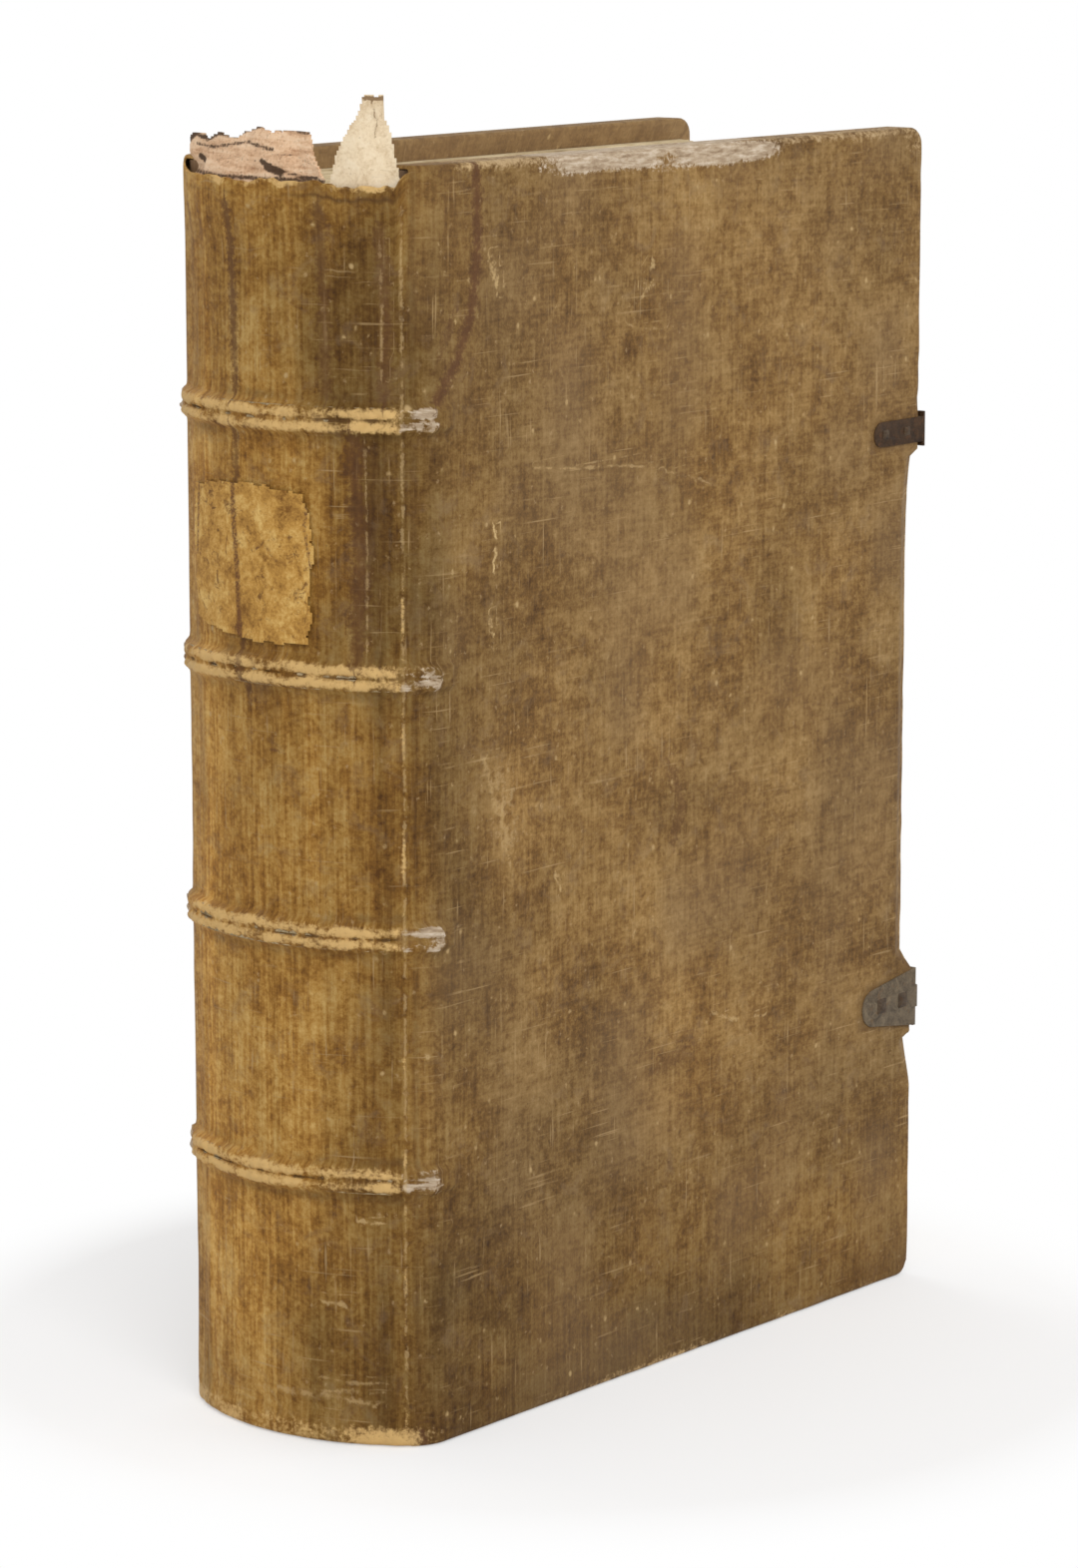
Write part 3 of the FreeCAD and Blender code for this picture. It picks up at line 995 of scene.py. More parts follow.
    def marked(self, marks: tuple[Stroke, ...], tone: Tone) -> tuple[Array, Array]:
        """Distance from the strongest stroke of a tone, and its strength.

        Args:
            marks: all strokes.
            tone: which of them count.

        Returns:
            The distance and the strength.
        """
        away, force = np.full(self.x.shape, 9.0), np.zeros(self.x.shape)
        for stroke in marks:
            if stroke.tone is tone:
                off, strength = stroke.measure(self.x, self.v)
                away = np.where(strength > force, off, away)
                force = np.maximum(strength, force)
        return away, force


@dataclass
class Skin:
    """Half of the leather: from the middle of the spine over a joint and round a cover."""

    side: Side
    leather: Material
    marks: tuple[Stroke, ...]
    patches: tuple[Patch, ...]
    band_ends: tuple[float, ...]
    thickness: float = 1.15
    thin_share: float = 0.45
    ridge_height: float = 2.75
    ridge_apart: float = 1.75
    ridge_half: float = 2.35
    twist: float = 3.7
    slip_rise: float = 1.5
    knee: float = 300.0

    def __post_init__(self) -> None:
        """Lays out the columns, rows and edge rings."""
        s, e = SIZES, SIZES.edge
        self.front = self.side is Side.FRONT
        self.round_angle = math.acos((s.joint_round - s.joint_depth) / s.joint_round)
        self.round_arc = s.joint_round * self.round_angle
        far = self.round_arc + s.width - s.rounding - e
        self.columns = spread([(-PLAN.half_arc, -14, 1.4), (-14, -3, 0.9), (-3, 3, 0.5), (3, 14, 0.9),
                               (14, 40, 1.8), (40, far - 16, 2.5), (far - 16, far, 1.25)])
        stops, last = [], e
        for band in s.bands:
            stops += [(last, band - 8, 2.5), (band - 8, band + 8, 0.62)]
            last = band + 8
        self.rows = spread(stops + [(last, 322, 2.5), (322, s.height - e, 1.3)])
        quarter = [math.radians(a) for a in (22.5, 45, 67.5, 90)]
        self.rings = [(e - e * math.sin(a), e - e * math.cos(a)) for a in quarter]
        self.rings += [(0, d) for d in (2.9, 4.4, 5.9, 7.4, s.depth - 0.8)]
        self.rings += [(0.25, s.depth - 0.2), (0.9, s.depth), (5, s.depth), (13, s.depth)]
        self.rings += [(19.4, s.depth), (20, s.depth - 0.15), (20.1, s.depth - 0.75)]

    # Places

    def cover_x(self, place: Array) -> tuple[Array, Array]:
        """Distance from the joint and depth of the plain outer face for a place along the skin.

        Args:
            place: places along the skin.

        Returns:
            The distance and the depth, in mm.
        """
        turn = self.round_angle - np.clip(place, 0, self.round_arc) / SIZES.joint_round
        x = SIZES.rounding - SIZES.joint_round * np.sin(turn) + np.maximum(place - self.round_arc, 0)
        return x, SIZES.joint_round * (1 - np.cos(turn))

    def around(self, place: Array) -> Array:
        """One coordinate round the whole book, from the front joint: spine and rear are negative."""
        return place if self.front else -2 * PLAN.half_arc - place

    def bevel_depth(self, x: Array, z: Array) -> Array:
        """How deep the fore-edge's bevel is cut at a place of the cover.

        Args:
            x: distances from the joint.
            z: heights.

        Returns:
            The depth in mm.
        """
        depth, width, tail, low, high, head = SIZES.bevel
        share = np.minimum(smooth(z, tail, low), fall(z, high, head))
        if self.front:
            for plate in SIZES.plates:
                share = share * smooth(np.abs(z - plate.height), plate.pad_half, plate.pad_half + 3.0)
        reach = np.maximum(width * share, 0.01)
        return depth * share * np.clip(1 - (SIZES.width - x) / reach, 0, 1)

    def ridges(self, around: Array, z: Array) -> tuple[Array, Array, Array]:
        """The raised bands.

        Args:
            around: coordinate round the book.
            z: heights.

        Returns:
            Their height, how much of a crest a place is, and how much of the groove between
            the two cords.
        """
        rise, crest, groove = np.zeros(z.shape), np.zeros(z.shape), np.zeros(z.shape)
        for number, band in enumerate(SIZES.bands):
            dz = z - band - 0.7 * ripple(around, 30, 40 + number)
            lay = around * 2 * math.pi / self.twist + number + 1.6 * ripple(around, 8, 57 + number)
            uneven = 1 + 0.14 * cloud(around, z, 2.0, 2.2, 50 + number)
            for sign in (-1, 1):
                hump = 1 - ((dz - sign * self.ridge_apart) / self.ridge_half) ** 2
                hump = np.clip(hump, 0, 1) ** 0.8
                knots = uneven + 0.13 * np.sin(lay + sign * dz * 1.3)
                rise = np.maximum(rise, self.ridge_height * hump * knots)
                crest = np.maximum(crest, hump)
            stitch = 0.55 + 0.75 * ripple(around, 1.9, 80 + number)
            rise = rise + 0.45 * hill(np.abs(dz), 3.9, 1.3)
            rise = rise + 0.9 * hill(dz, 0, 0.9) * np.clip(1 - stitch, 0, 1)
            groove = np.maximum(groove, hill(dz, 0, 0.7) * np.clip(stitch, 0, 1.1))
        return rise, crest, groove

    def ends(self, place: Array, z: Array) -> Array:
        """Share of the raised band's height left, past the joint and over its end.

        Args:
            place: places along the skin.
            z: heights.

        Returns:
            The share.
        """
        share = np.ones(place.shape)
        for band, length in zip(SIZES.bands, self.band_ends):
            ragged = length + 1.6 * cloud(place, z, 1.8, 1.4, 71) - 0.13 * (z - band) ** 2
            share = np.where(np.abs(z - band) < 9, fall(place, ragged - 2.6, ragged + 1.2), share)
        return share * np.where(place > -12, 1 - 0.42 * hill(place, 0.5, 3.2), 1)

    def swell(self, place: Array, z: Array) -> tuple[Array, dict[str, Array]]:
        """How far the leather stands out of its plain form.

        Args:
            place: places along the skin from the joint.
            z: heights.

        Returns:
            The swell in mm, and the shares that wear and painted shade follow from.
        """
        around = self.around(place)
        rise, crest, groove = self.ridges(around, z)
        share = self.ends(place, z)
        on_spine = fall(place, -1.5, 1.5)
        slip = np.max([fall(np.abs(z - band), 2.3, 4.2) for band in SIZES.bands], axis=0)
        slip = slip * fall(place, 12.6, 14.8) * smooth(place, -1, 3)
        slip = slip * (self.slip_rise + 0.12 * cloud(around, z, 1.8, 1.8, 8))
        waves = 0.28 * cloud(around, z, 26, 32, 1) * (0.5 + 0.9 * on_spine)
        waves = waves + 0.10 * cloud(around, z, 6, 9, 2)
        wrinkle = cloud(around, z, 1.5, 26, 3) * 0.26 + cloud(around, z, 2.8, 60, 4) * 0.25
        wrinkle = wrinkle * hill(place, -7, 8.5) * (1 - crest)
        flare = smooth(z, 318, 333) + 0.45 * fall(z, 2, 14) - 0.25
        frayed = fall(z, 3, 13) * 0.35 * cloud(around, z, 3.2, 2.6, 5)
        ledge = 0.55 * hill(z, 9.5 + 1.2 * ripple(around, 24, 6), 1.1)
        beside = np.where(place > 0, SIZES.width + 2 - place, 99)
        lip = np.minimum(np.minimum(z, SIZES.height - z), beside)
        rim = fall(lip, 1, 9) * (1 - on_spine) * 0.22 * cloud(around, z, 5, 5, 7)
        out = np.maximum(rise * share, slip) + waves + wrinkle + on_spine * (flare + frayed - ledge) + rim
        return out, {"crest": crest * share, "groove": groove * share, "on_spine": on_spine,
                     "end": crest * share * smooth(place, -4.5, -0.5), "lip": lip}

    def head_height(self, place: Array) -> Array:
        """Height of the torn edge at the head of the spine.

        Args:
            place: places along the skin.

        Returns:
            The height in mm.
        """
        around = self.around(place)
        torn = SIZES.head + 1.0 + 1.3 * ripple(around, 7, 11) + 0.7 * ripple(around, 2.1, 12)
        return torn + (SIZES.height - SIZES.edge - torn) * smooth(place, -3.5, 2.5)

    # Mesh

    def corner(self, x: Array, z: Array) -> tuple[Array, Array, Array, Array]:
        """Rounds the cover's two corners, seen from its outer face.

        Args:
            x: distances from the joint.
            z: heights.

        Returns:
            The moved x and z, and the direction out of the cover's border there.
        """
        s = SIZES
        zone = s.corner - s.edge
        cx = s.width - s.corner
        top = z > s.height / 2
        cz = np.where(top, s.height - s.corner, s.corner)
        sign = np.where(top, 1.0, -1.0)
        px, pz = np.clip((x - cx) / zone, 0, 1), np.clip(sign * (z - cz) / zone, 0, 1)
        inside = (px > 0) & (pz > 0)
        mx, mz = px * np.sqrt(1 - pz ** 2 / 2), pz * np.sqrt(1 - px ** 2 / 2)
        length = np.maximum(np.hypot(mx, mz), 1e-6)
        nx = np.where(inside, mx / length, np.where(px >= 1, 1.0, 0.0))
        nz = np.where(inside, mz / length * sign, np.where((px < 1) | (pz > 0), sign, 0.0))
        nz = np.where((px >= 1) & (pz <= 0), 0.0, nz)
        return (np.where(inside, cx + mx * zone, x), np.where(inside, cz + sign * mz * zone, z),
                nx, nz)

    def wrap(self, column: Array, row: Array) -> tuple[Array, Array, AgeingAndShade]:
        """Places every point of the grid.

        Args:
            column: column numbers; those past the last place are rings at the fore-edge.
            row: row numbers; those before the first and past the last height are rings.

        Returns:
            The points, the skin's own coordinates, and how it has aged, with its painted shade.
        """
        s, e, rings = SIZES, SIZES.edge, len(self.rings)
        place = self.columns[np.minimum(column, len(self.columns) - 1)]
        z = self.rows[np.clip(row - rings, 0, len(self.rows) - 1)]
        fore = np.maximum(column - len(self.columns) + 1, 0)
        tail = np.maximum(rings - row, 0)
        head = np.maximum(row - rings - len(self.rows) + 1, 0)
        ring = np.maximum(np.maximum(fore, tail), head)
        table = np.array([(e, 0.0)] + self.rings)
        inset, deep = table[ring, 0], table[ring, 1]
        over = np.concatenate([[0], np.cumsum(np.hypot(*np.diff(table, axis=0).T))])[ring]
        out, shares = self.swell(place, z)
        out = out * np.where(ring > 0, np.clip(1 - ring / 5, 0, 1), 1)
        # Cover
        x, plain = self.cover_x(place)
        mx, mz, nx, nz = self.corner(x, z)
        base = plain + self.bevel_depth(mx, mz)
        near = 6.0
        wide = (s.width - inset - near) / (s.width - e - near)
        tall = (s.height / 2 - inset) / (s.height / 2 - e)
        turned = inset > s.corner - 0.5
        cx = np.where(turned, np.where(x > near, near + (x - near) * wide, x), mx + nx * (e - inset))
        cz = np.where(turned, s.height / 2 + (z - s.height / 2) * tall, mz + nz * (e - inset))
        cover = PLAN.on_cover(self.side, cx, cz, base + deep * (1 - base / s.depth) - out)
        # Spine
        top = self.head_height(np.minimum(place, 3))
        knee = self.knee
        zs = np.where(z > knee, knee + (z - knee) * (top - knee) / (self.rows[-1] - knee), z)
        zs = np.where(head > 0, top - 0.2 * head, zs)
        zs = np.where(tail > 0, np.where(inset < 1, inset, 0.9 + inset * 0.15), zs)
        inner = np.where(tail > 0, np.minimum(deep, 5.2), 0.0)
        spine = PLAN.on_spine(self.around(np.minimum(place, 0)), zs, out - inner)
        # Between them
        blend = smooth(place, -0.01, 0.01)[..., None]
        points = spine * (1 - blend) + cover * blend
        pull = smooth(place, -3.5, 2.5) * (z > knee)
        at_joint = (np.abs(place) < 3.2) & (ring == 0)
        points[..., 2] = np.where(at_joint, zs * (1 - pull) + cz * pull, points[..., 2])
        own_x = self.around(place) + np.where(fore > 0, over, 0) * (1 if self.front else -1)
        own_z = z + np.where(head > 0, over, 0) - np.where(tail > 0, over, 0)
        ageing = AgeingAndShade(self.front, own_x, own_z, self.around(own_x), ring.astype(float), **shares)
        return points, np.stack([own_x, own_z, 0 * z], -1), ageing

    def relax_joint(self, points: Array) -> Array:
        """Rounds the V at the joint, three times across its columns.

        Args:
            points: the grid's points.

        Returns:
            The same points, moved.
        """
        middle = int(np.argmin(np.abs(self.columns)))
        for _ in range(3):
            part = points[:, middle - 4:middle + 5]
            part[:, 1:-1] = part[:, 1:-1] * 0.5 + (part[:, :-2] + part[:, 2:]) * 0.25
        return points

    def build(self) -> Piece:
        """Wraps, thickens and dresses the skin.

        Returns:
            The skin.
        """
        rings, last = len(self.rings), len(self.columns) - 1
        columns, rows = last + 1 + rings, len(self.rows) + 2 * rings
        piece = sheet_grid(f"{self.side.value}_skin", columns, rows)
        column, row = np.meshgrid(np.arange(columns), np.arange(rows))
        points, own, age = self.wrap(column, row)
        points = self.relax_joint(points)
        points[..., 2] = np.maximum(points[..., 2], 0.02)
        paint(piece, "tones", (age.shaded(self.patches), age.greyed(), 0 * age.x))
        # The second of these numbers is dirt with painted shade.
        paint(piece, "wear", [np.clip(s, 0, 1) for s in (age.rubbed(), age.soiled_and_shaded(), age.bared())])
        paint(piece, "pale_marks", (*age.marked(self.marks, Tone.PALE), np.clip(age.warmed(), 0, 1)))
        paint(piece, "dark_marks", (*age.marked(self.marks, Tone.DARK), age.groove * (1 - age.end)))
        paint(piece, "skin", np.moveaxis(own * MM, -1, 0))
        set_points(piece, points)
        self.set_thickness(piece, column, row)
        height = face_middles(piece, row)
        at_head = height > rings + len(self.rows) - 1
        at_fore = face_middles(piece, column) > last
        on_spine = face_middles(piece, self.columns[np.minimum(column, last)]) < 0.3
        drop_faces(piece, (at_fore & ((height < rings) | at_head)) | (at_head & on_spine))
        if not self.front:
            with editing(piece):
                bpy.ops.mesh.flip_normals()
        make_modifier(piece, "SOLIDIFY", thickness=self.thickness * MM, offset=-1.0,
                      vertex_group="thick", thickness_vertex_group=self.thin_share)
        points = get_points(piece)
        points[:, 2] = np.maximum(points[:, 2], 0.0)
        set_points(piece, points)
        smooth_shade(piece, 60)
        wear(piece, self.leather)
        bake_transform(piece)
        report(piece)
        return piece

    def set_thickness(self, piece: Piece, column: Array, row: Array) -> None:
        """Keeps the leather's full thickness at the torn head, and pares it elsewhere.

        Args:
            piece: the skin.
            column: column numbers.
            row: row numbers.
        """
        group = piece.vertex_groups.new(name="thick")
        place = self.columns[np.minimum(column, len(self.columns) - 1)]
        z = self.rows[np.clip(row - len(self.rings), 0, len(self.rows) - 1)]
        share = (smooth(z, 318, 328) * fall(place, -4, 0)).reshape(-1)
        levels = 10
        for level in range(1, levels + 1):
            chosen = np.flatnonzero(np.round(share * levels) == level)
            if len(chosen):
                group.add(chosen.tolist(), level / levels, "REPLACE")


@dataclass
class Leaves:
    """The book's leaves, in gatherings of slightly different height and depth."""

    gatherings: int = 84
    back: float = 60.68
    hollow: float = 9.0
    play: float = 0.4
    clearance: float = 0.32
    trim: float = 0.02

    def build(self) -> None:
        """Makes one gathering from a cube, repeats it and shapes each copy."""
        random = np.random.RandomState(7)
        pick()
        bpy.ops.mesh.primitive_cube_add(size=1)
        piece = named("leaves")
        corners = get_points(piece) > 0
        make_modifier(piece, "ARRAY", count=self.gatherings)
        last = self.gatherings - 1
        points = []
        for number in range(self.gatherings):
            fore = random.uniform(-self.play, 0) * (0 < number < last)
            top = random.uniform(-self.play, 0)
            low = SIZES.square + self.trim - top * 0.6
            high = SIZES.height - SIZES.square - self.trim + top
            for later, at_tip, at_head in corners:
                share = (number + int(later)) / self.gatherings
                x, y = self.tip(share, fore) if at_tip else self.root(share)
                points.append((x, y, high if at_head else low))
        set_points(piece, np.array(points))
        with editing(piece):
            bpy.ops.mesh.flip_normals()
        number = np.repeat(np.arange(self.gatherings), 6)
        later = face_middles(piece, np.tile(corners[:, 0], self.gatherings))
        page = ((number == 0) & (later == 0)) | ((number == last) & (later == 1))
        paint(piece, "page", (page, 0 * page, 0 * page), "FACE")
        wear(piece, LeavesFinish().make())
        seat(piece, "text_block", "book_block")

    def between(self, x: float, share: float) -> Array:
        """A plan point at a distance from the joints, a share of the way from front to rear.

        Args:
            x: distance from the joints.
            share: 0 at the front and 1 at the rear.

        Returns:
            The point in mm.
        """
        depth = SIZES.depth + self.clearance
        front, rear = (PLAN.on_cover(side, x, 0.0, depth)[:2] for side in Side)
        return front * (1 - share) + rear * share

    def tip(self, share: float, fore: float) -> Array:
        """Where a leaf's free edge lies on the hollow fore-edge."""
        hollow = self.hollow * 4 * share * (1 - share)
        return self.between(SIZES.width - SIZES.square, share) - np.array([hollow - fore, 0])

    def root(self, share: float) -> Spot:
        """Where a leaf's fold lies on the rounded back."""
        centre, y = PLAN.centre, self.between(0.0, share)[1]
        return centre[0] - math.sqrt(max(self.back ** 2 - (y - centre[1]) ** 2, 0)), y


@dataclass
class SpineSheet:
    """A sheet wrapped on the spine, cut to a ragged outline of (place, height) points in mm."""

    name: str
    node: str
    slot: str
    finish: SheetFinish
    outline: tuple[Spot, ...]
    shade_and_streaks: tuple[Stroke, ...]
    thickness: float = 0.3
    ragged: float = 0.5
    seed: int = 5
    step: float = 0.6

    def lift(self, place: Array, z: Array) -> Array:
        """How far outside the spine's arc the sheet lies."""
        return 0.55 + 0 * place

    def inside(self, place: Array, z: Array) -> Array:
        """Whether places lie within the outline.

        Args:
            place: places along the skin.
            z: heights.

        Returns:
            True or false for each.
        """
        x = place + self.ragged * cloud(place, z, 2.2, 2.2, self.seed)
        v = z + self.ragged * cloud(place, z, 1.7, 1.7, self.seed + 1)
        within = np.zeros(x.shape, bool)
        for (ax, az), (bx, bz) in zip(self.outline, self.outline[1:] + self.outline[:1]):
            if az != bz:
                within ^= ((az > v) != (bz > v)) & (x < (bx - ax) * (v - az) / (bz - az) + ax)
        return within

    def shade_and_streak_share(self, place: Array, z: Array) -> Array:
        """How much each place darkens from the strokes: painted shade in folds and hollows, a dark torn rim,
        a dark streak.

        Args:
            place: places along the skin.
            z: heights.

        Returns:
            The share.
        """
        share = np.zeros(z.shape)
        for stroke in self.shade_and_streaks:
            off, strength = stroke.measure(place, z)
            share = np.maximum(share, strength * fall(np.abs(off), 0.3, 1.2))
        return share

    def build(self) -> None:
        """Cuts, wraps and dresses the sheet."""
        margin = 2 * self.ragged
        (left, right), (low, high) = ((min(c) - margin, max(c) + margin) for c in zip(*self.outline))
        columns, rows = int((right - left) / self.step) + 1, int((high - low) / self.step) + 1
        piece = sheet_grid(self.name, columns, rows)
        place, z = np.meshgrid(np.linspace(left, right, columns), np.linspace(low, high, rows))
        set_points(piece, PLAN.on_spine(place, z, self.lift(place, z)))
        paint(piece, "shade_and_streaks", (self.shade_and_streak_share(place, z), 0 * z, 0 * z))
        drop_faces(piece, face_middles(piece, self.inside(place, z)) < 0.6)
        make_modifier(piece, "SOLIDIFY", thickness=self.thickness * MM, offset=0.0)
        with editing(piece):
            bpy.ops.mesh.normals_make_consistent(inside=False)
        smooth_shade(piece, 60)
        wear(piece, self.finish.make())
        seat(piece, self.node, "book_block")


@dataclass
class TornTurnIn(SpineSheet):
    """What is left of the head cap: crumpled, leaning in over the leaves."""

    foot: float = 331.0

    def lift(self, place: Array, z: Array) -> Array:
        """Leans in more the higher it goes, in waves.

        Args:
            place: places along the skin.
            z: heights.

        Returns:
            Distance outside the arc in mm.
        """
        up = np.clip(z - self.foot, 0, 30)
        lean = up * (0.30 + 0.10 * ripple(place, 11, 61)) * (0.1 + 0.9 * smooth(place, -78, -58))
        fold = 1.1 * cloud(place, z, 5, 5, 62) * smooth(z, self.foot, 337)
        return -1.2 - 0.8 * smooth(z, 332, 338) - lean + fold


@dataclass
class VellumFlap(SpineSheet):
    """The tab of vellum that stands up beside the front joint, its tip folded over."""

    foot: float = 333.0

    def lift(self, place: Array, z: Array) -> Array:
        """Stands nearly straight, curling outwards at its tip.

        Args:
            place: places along the skin.
            z: heights.

        Returns:
            Distance outside the arc in mm.
        """
        up = np.clip(z - self.foot, 0, 40)
        curl = 0.9 * cloud(place, z, 9, 12, 66) * smooth(z, self.foot, 341)
        return -1.1 - 0.8 * smooth(z, 332, 338) + 0.05 * up + curl + 1.5 * smooth(z, 351, 358)


@dataclass
class Metalwork:
    """The catch plates and their nails, with softened edges."""

    bevel: float = 0.22

    def soften(self, node: str, finish: MetalFinish) -> None:
        """Makes a merged copy of a CAD node with worn edges, in its place.

        Args:
            node: the CAD node.
            finish: its finish.
        """
        piece = frame["nodes"][node].copy()
        piece.data = piece.data.copy()
        bpy.context.scene.collection.objects.link(piece)
        for key in list(piece.keys()):
            del piece[key]
        piece.parent = None
        piece.name = piece.data.name = f"forged_{node}"
        with editing(piece):
            bpy.ops.mesh.remove_doubles(threshold=1e-6)
            bpy.ops.mesh.dissolve_limited(angle_limit=math.radians(2))
        make_modifier(piece, "BEVEL", width=self.bevel * MM, segments=2, limit_method="ANGLE",
                      angle_limit=math.radians(40), use_clamp_overlap=True)
        smooth_shade(piece, 40)
        wear(piece, finish.make())
        seat(piece, node, "front_cover")

    def build(self) -> None:
        """Builds both plates and the nails."""
        self.soften("upper_catch_plate", MetalFinish(
            "dark_iron", (0.024, 0.012, 0.005), (0.066, 0.034, 0.015), (0.085, 0.036, 0.013)))
        self.soften("lower_catch_plate", MetalFinish(
            "grey_iron", (0.066, 0.048, 0.030), (0.175, 0.133, 0.085), (0.13, 0.072, 0.032)))
        self.soften("catch_plate_nails", MetalFinish(
            "nail_iron", (0.034, 0.021, 0.012), (0.100, 0.068, 0.042), (0.085, 0.040, 0.016)))


@dataclass
class Interior:
    """The CAD nodes that stay: boards, pastedowns, cords, slips, pegs and endband."""

    wood: WoodFinish = WoodFinish("board_wood", (0.075, 0.040, 0.018), (0.21, 0.125, 0.062))
    peg: WoodFinish = WoodFinish("peg_wood", (0.12, 0.070, 0.032), (0.30, 0.195, 0.105))
    paper: SheetFinish = SheetFinish(
        "pastedown_paper", ((0.36, 0.28, 0.19), (0.44, 0.36, 0.26), (0.50, 0.42, 0.31)),
        (0.27, 0.19, 0.115), blots=0.30, size=11.0, rough=0.9)
    cord: CordFinish = CordFinish()

    def dress(self) -> None:
        """Gives each node its finish."""
        cord = self.cord.make()
        finishes = {"board": self.wood.make(), "pegs": self.peg.make(), "pastedown": self.paper.make(),
                    "slips": cord, "sewing_cords": cord, "tail_endband": cord}
        for name, node in frame["nodes"].items():
            for ending, material in finishes.items():
                if name.endswith(ending):
                    node.data.materials.clear()
                    node.data.materials.append(material)
                    LOG.info("%s: new finish", name)


@dataclass
class Studio:
    """The pale floor, the soft lamps and the camera."""

    camera_at: tuple[float, float, float] = (-1.10942, -0.90563, 0.4266)
    yaw_deg: float = 50.73
    pitch_deg: float = 10.54
    lens: float = 119.0
    aim_height: float = 0.17
    soft_light: float = 0.62
    floor_glow: float = 0.42

    def floor(self) -> None:
        """A wide pale floor that keeps the shadow and fades to white far away."""
        pick()
        bpy.ops.mesh.primitive_plane_add(size=60, location=(0, 0, -0.0002))
        piece = named("floor")
        p = Palette("pale_floor")
        at = p.place()
        distance = p.node("VectorMath", "Value", {0: at}, operation="LENGTH")
        away = p.sum("MAXIMUM", p.rise(distance, 122, 200), self.floor_glow)
        pale = p.both(p.noise(at, 900, 2), (0.93, 0.93, 0.93), (0.96, 0.96, 0.96))
        lit = p.surface(pale, 0.95, 0.0)
        glow = p.node("Emission", 0, {})
        mix = p.node("MixShader", 0, {0: p.times(away, p.seen()), 1: lit, 2: glow})
        piece.data.materials.append(p.close(mix))

    def world(self) -> None:
        """Soft light from all round, white where it is seen."""
        p = Palette("studio", "worlds")
        soft, white = (p.node("Background", 0, {0: (1, 1, 1), 1: power})
                       for power in (self.soft_light, 1.0))
        mix = p.node("MixShader", 0, {0: p.seen(), 1: soft, 2: white})
        bpy.context.scene.world = p.close(mix, "World")

    def hang(self, data: bpy.types.ID, at: tuple[float, float, float]) -> Piece:
        """Puts a lamp or a camera at a place in the scene.

        Args:
            data: the lamp or camera.
            at: its place in m.

        Returns:
            The thing in the scene.
        """
        thing = bpy.data.objects.new(data.name, data)
        bpy.context.scene.collection.objects.link(thing)
        thing.location = at
        return thing

    def lamp(self, name: str, at: tuple[float, float, float], size: float, power: float) -> None:
        """A square soft lamp that faces the book.

        Args:
            name: its name.
            at: its place in m.
            size: its side in m.
            power: its power in W.
        """
        light = bpy.data.lights.new(name, "AREA")
        light.size, light.energy = size, power
        lamp = self.hang(light, at)
        aim = bpy.data.objects["floor"].location.copy()
        aim.z = self.aim_height
        lamp.rotation_euler = (aim - lamp.location).to_track_quat("-Z", "Y").to_euler()

    def camera(self) -> None:
        """The camera at the photograph's angle."""
        data = bpy.data.cameras.new("camera")
        data.lens, data.sensor_width, data.clip_end = self.lens, 36, 200
        camera = self.hang(data, self.camera_at)
        camera.rotation_euler = (math.radians(90 - self.pitch_deg), 0, -math.radians(self.yaw_deg))
        bpy.context.scene.camera = camera

    def build(self) -> None:
        """Sets the whole studio."""
        bpy.context.scene.view_settings.view_transform = "Standard"
        self.floor()
        self.world()
        self.lamp("key", (-1.5, -1.9, 2.1), 1.6, 42)
        self.lamp("fill", (1.4, -1.8, 1.3), 1.8, 14)
        self.lamp("back", (0.2, 2.2, 2.0), 1.8, 16)
        self.camera()


# This book's own marks, in mm

def book_marks() -> tuple[Stroke, ...]:
    """The stains and scratches, of which the first five reach both halves of the spine.

    Returns:
        The dark marks, and then the pale ones.
    """
    return strokes(
        Tone.DARK,
        (2.0, 0.72, -52.5, 331, -51.5, 300, -51, 281),
        (1.6, 0.62, -51, 270, -50.5, 235, -49, 216, -46.5, 202),
        (2.2, 0.50, -23, 331, -22, 306, -21.5, 282),
        (3.0, 0.62, -14, 270, -12.5, 240, -13.5, 212),
        (2.2, 0.55, -7, 326, -5, 300, -6, 281),
        (2.3, 0.88, 24, 339, 24.5, 318, 22.5, 303, 16, 289, 8.5, 280),
        (3.4, 0.45, 14, 298, 11, 289, 8, 281),
        (1.2, 0.85, -47, 186.5, -44.5, 186),
        (0.6, 0.60, -43, 186.5, -37, 187),
        (2.6, 0.45, 108, 168, 112, 158, 109, 150),
        (3.4, 0.42, 104, 86, 113, 88),
        (1.0, 0.80, 2.5, 4.5, 4.0, 0.5),
    ) + strokes(
        Tone.PALE,
        (0.7, 0.85, 31, 244, 32, 239, 30.5, 234),
        (0.9, 0.75, 29, 221, 30, 215),
        (2.2, 0.62, 96, 303.5, 97.5, 306.5),
        (0.42, 0.42, 48, 258.5, 66, 256.5, 82, 256, 100, 253.5),
        (0.42, 0.36, 105, 252, 116, 249.5, 126, 246),
        (0.42, 0.36, 88, 293, 96, 291.5, 104, 291.5),
        (4.5, 0.40, 30, 178, 35, 169, 36, 160),
        (0.9, 0.60, 57, 147, 58, 145.5),
        (0.6, 0.50, 128, 96, 138, 93, 150, 92),
        (1.4, 0.62, 30, 314, 32, 308),
        (0.45, 0.62, -6.8, 322, -6.4, 305, -6.6, 286),
        (0.4, 0.50, -11, 268, -10.6, 240, -10.8, 214),
        (0.45, 0.40, -1.4, 330, -1.2, 170, -1.4, 14),
        (0.6, 0.55, -13, 62, -11, 61.2, -9, 61.5),
        (0.6, 0.50, -24, 38.5, -21, 39, -18, 38.3),
        (0.9, 0.42, -70, 15.6, -52, 14.6, -34, 12.6, -24, 12.9, -10, 11.6),
        (0.5, 0.36, -24, 18.0, -15, 17.0, -8, 17.6),
    )


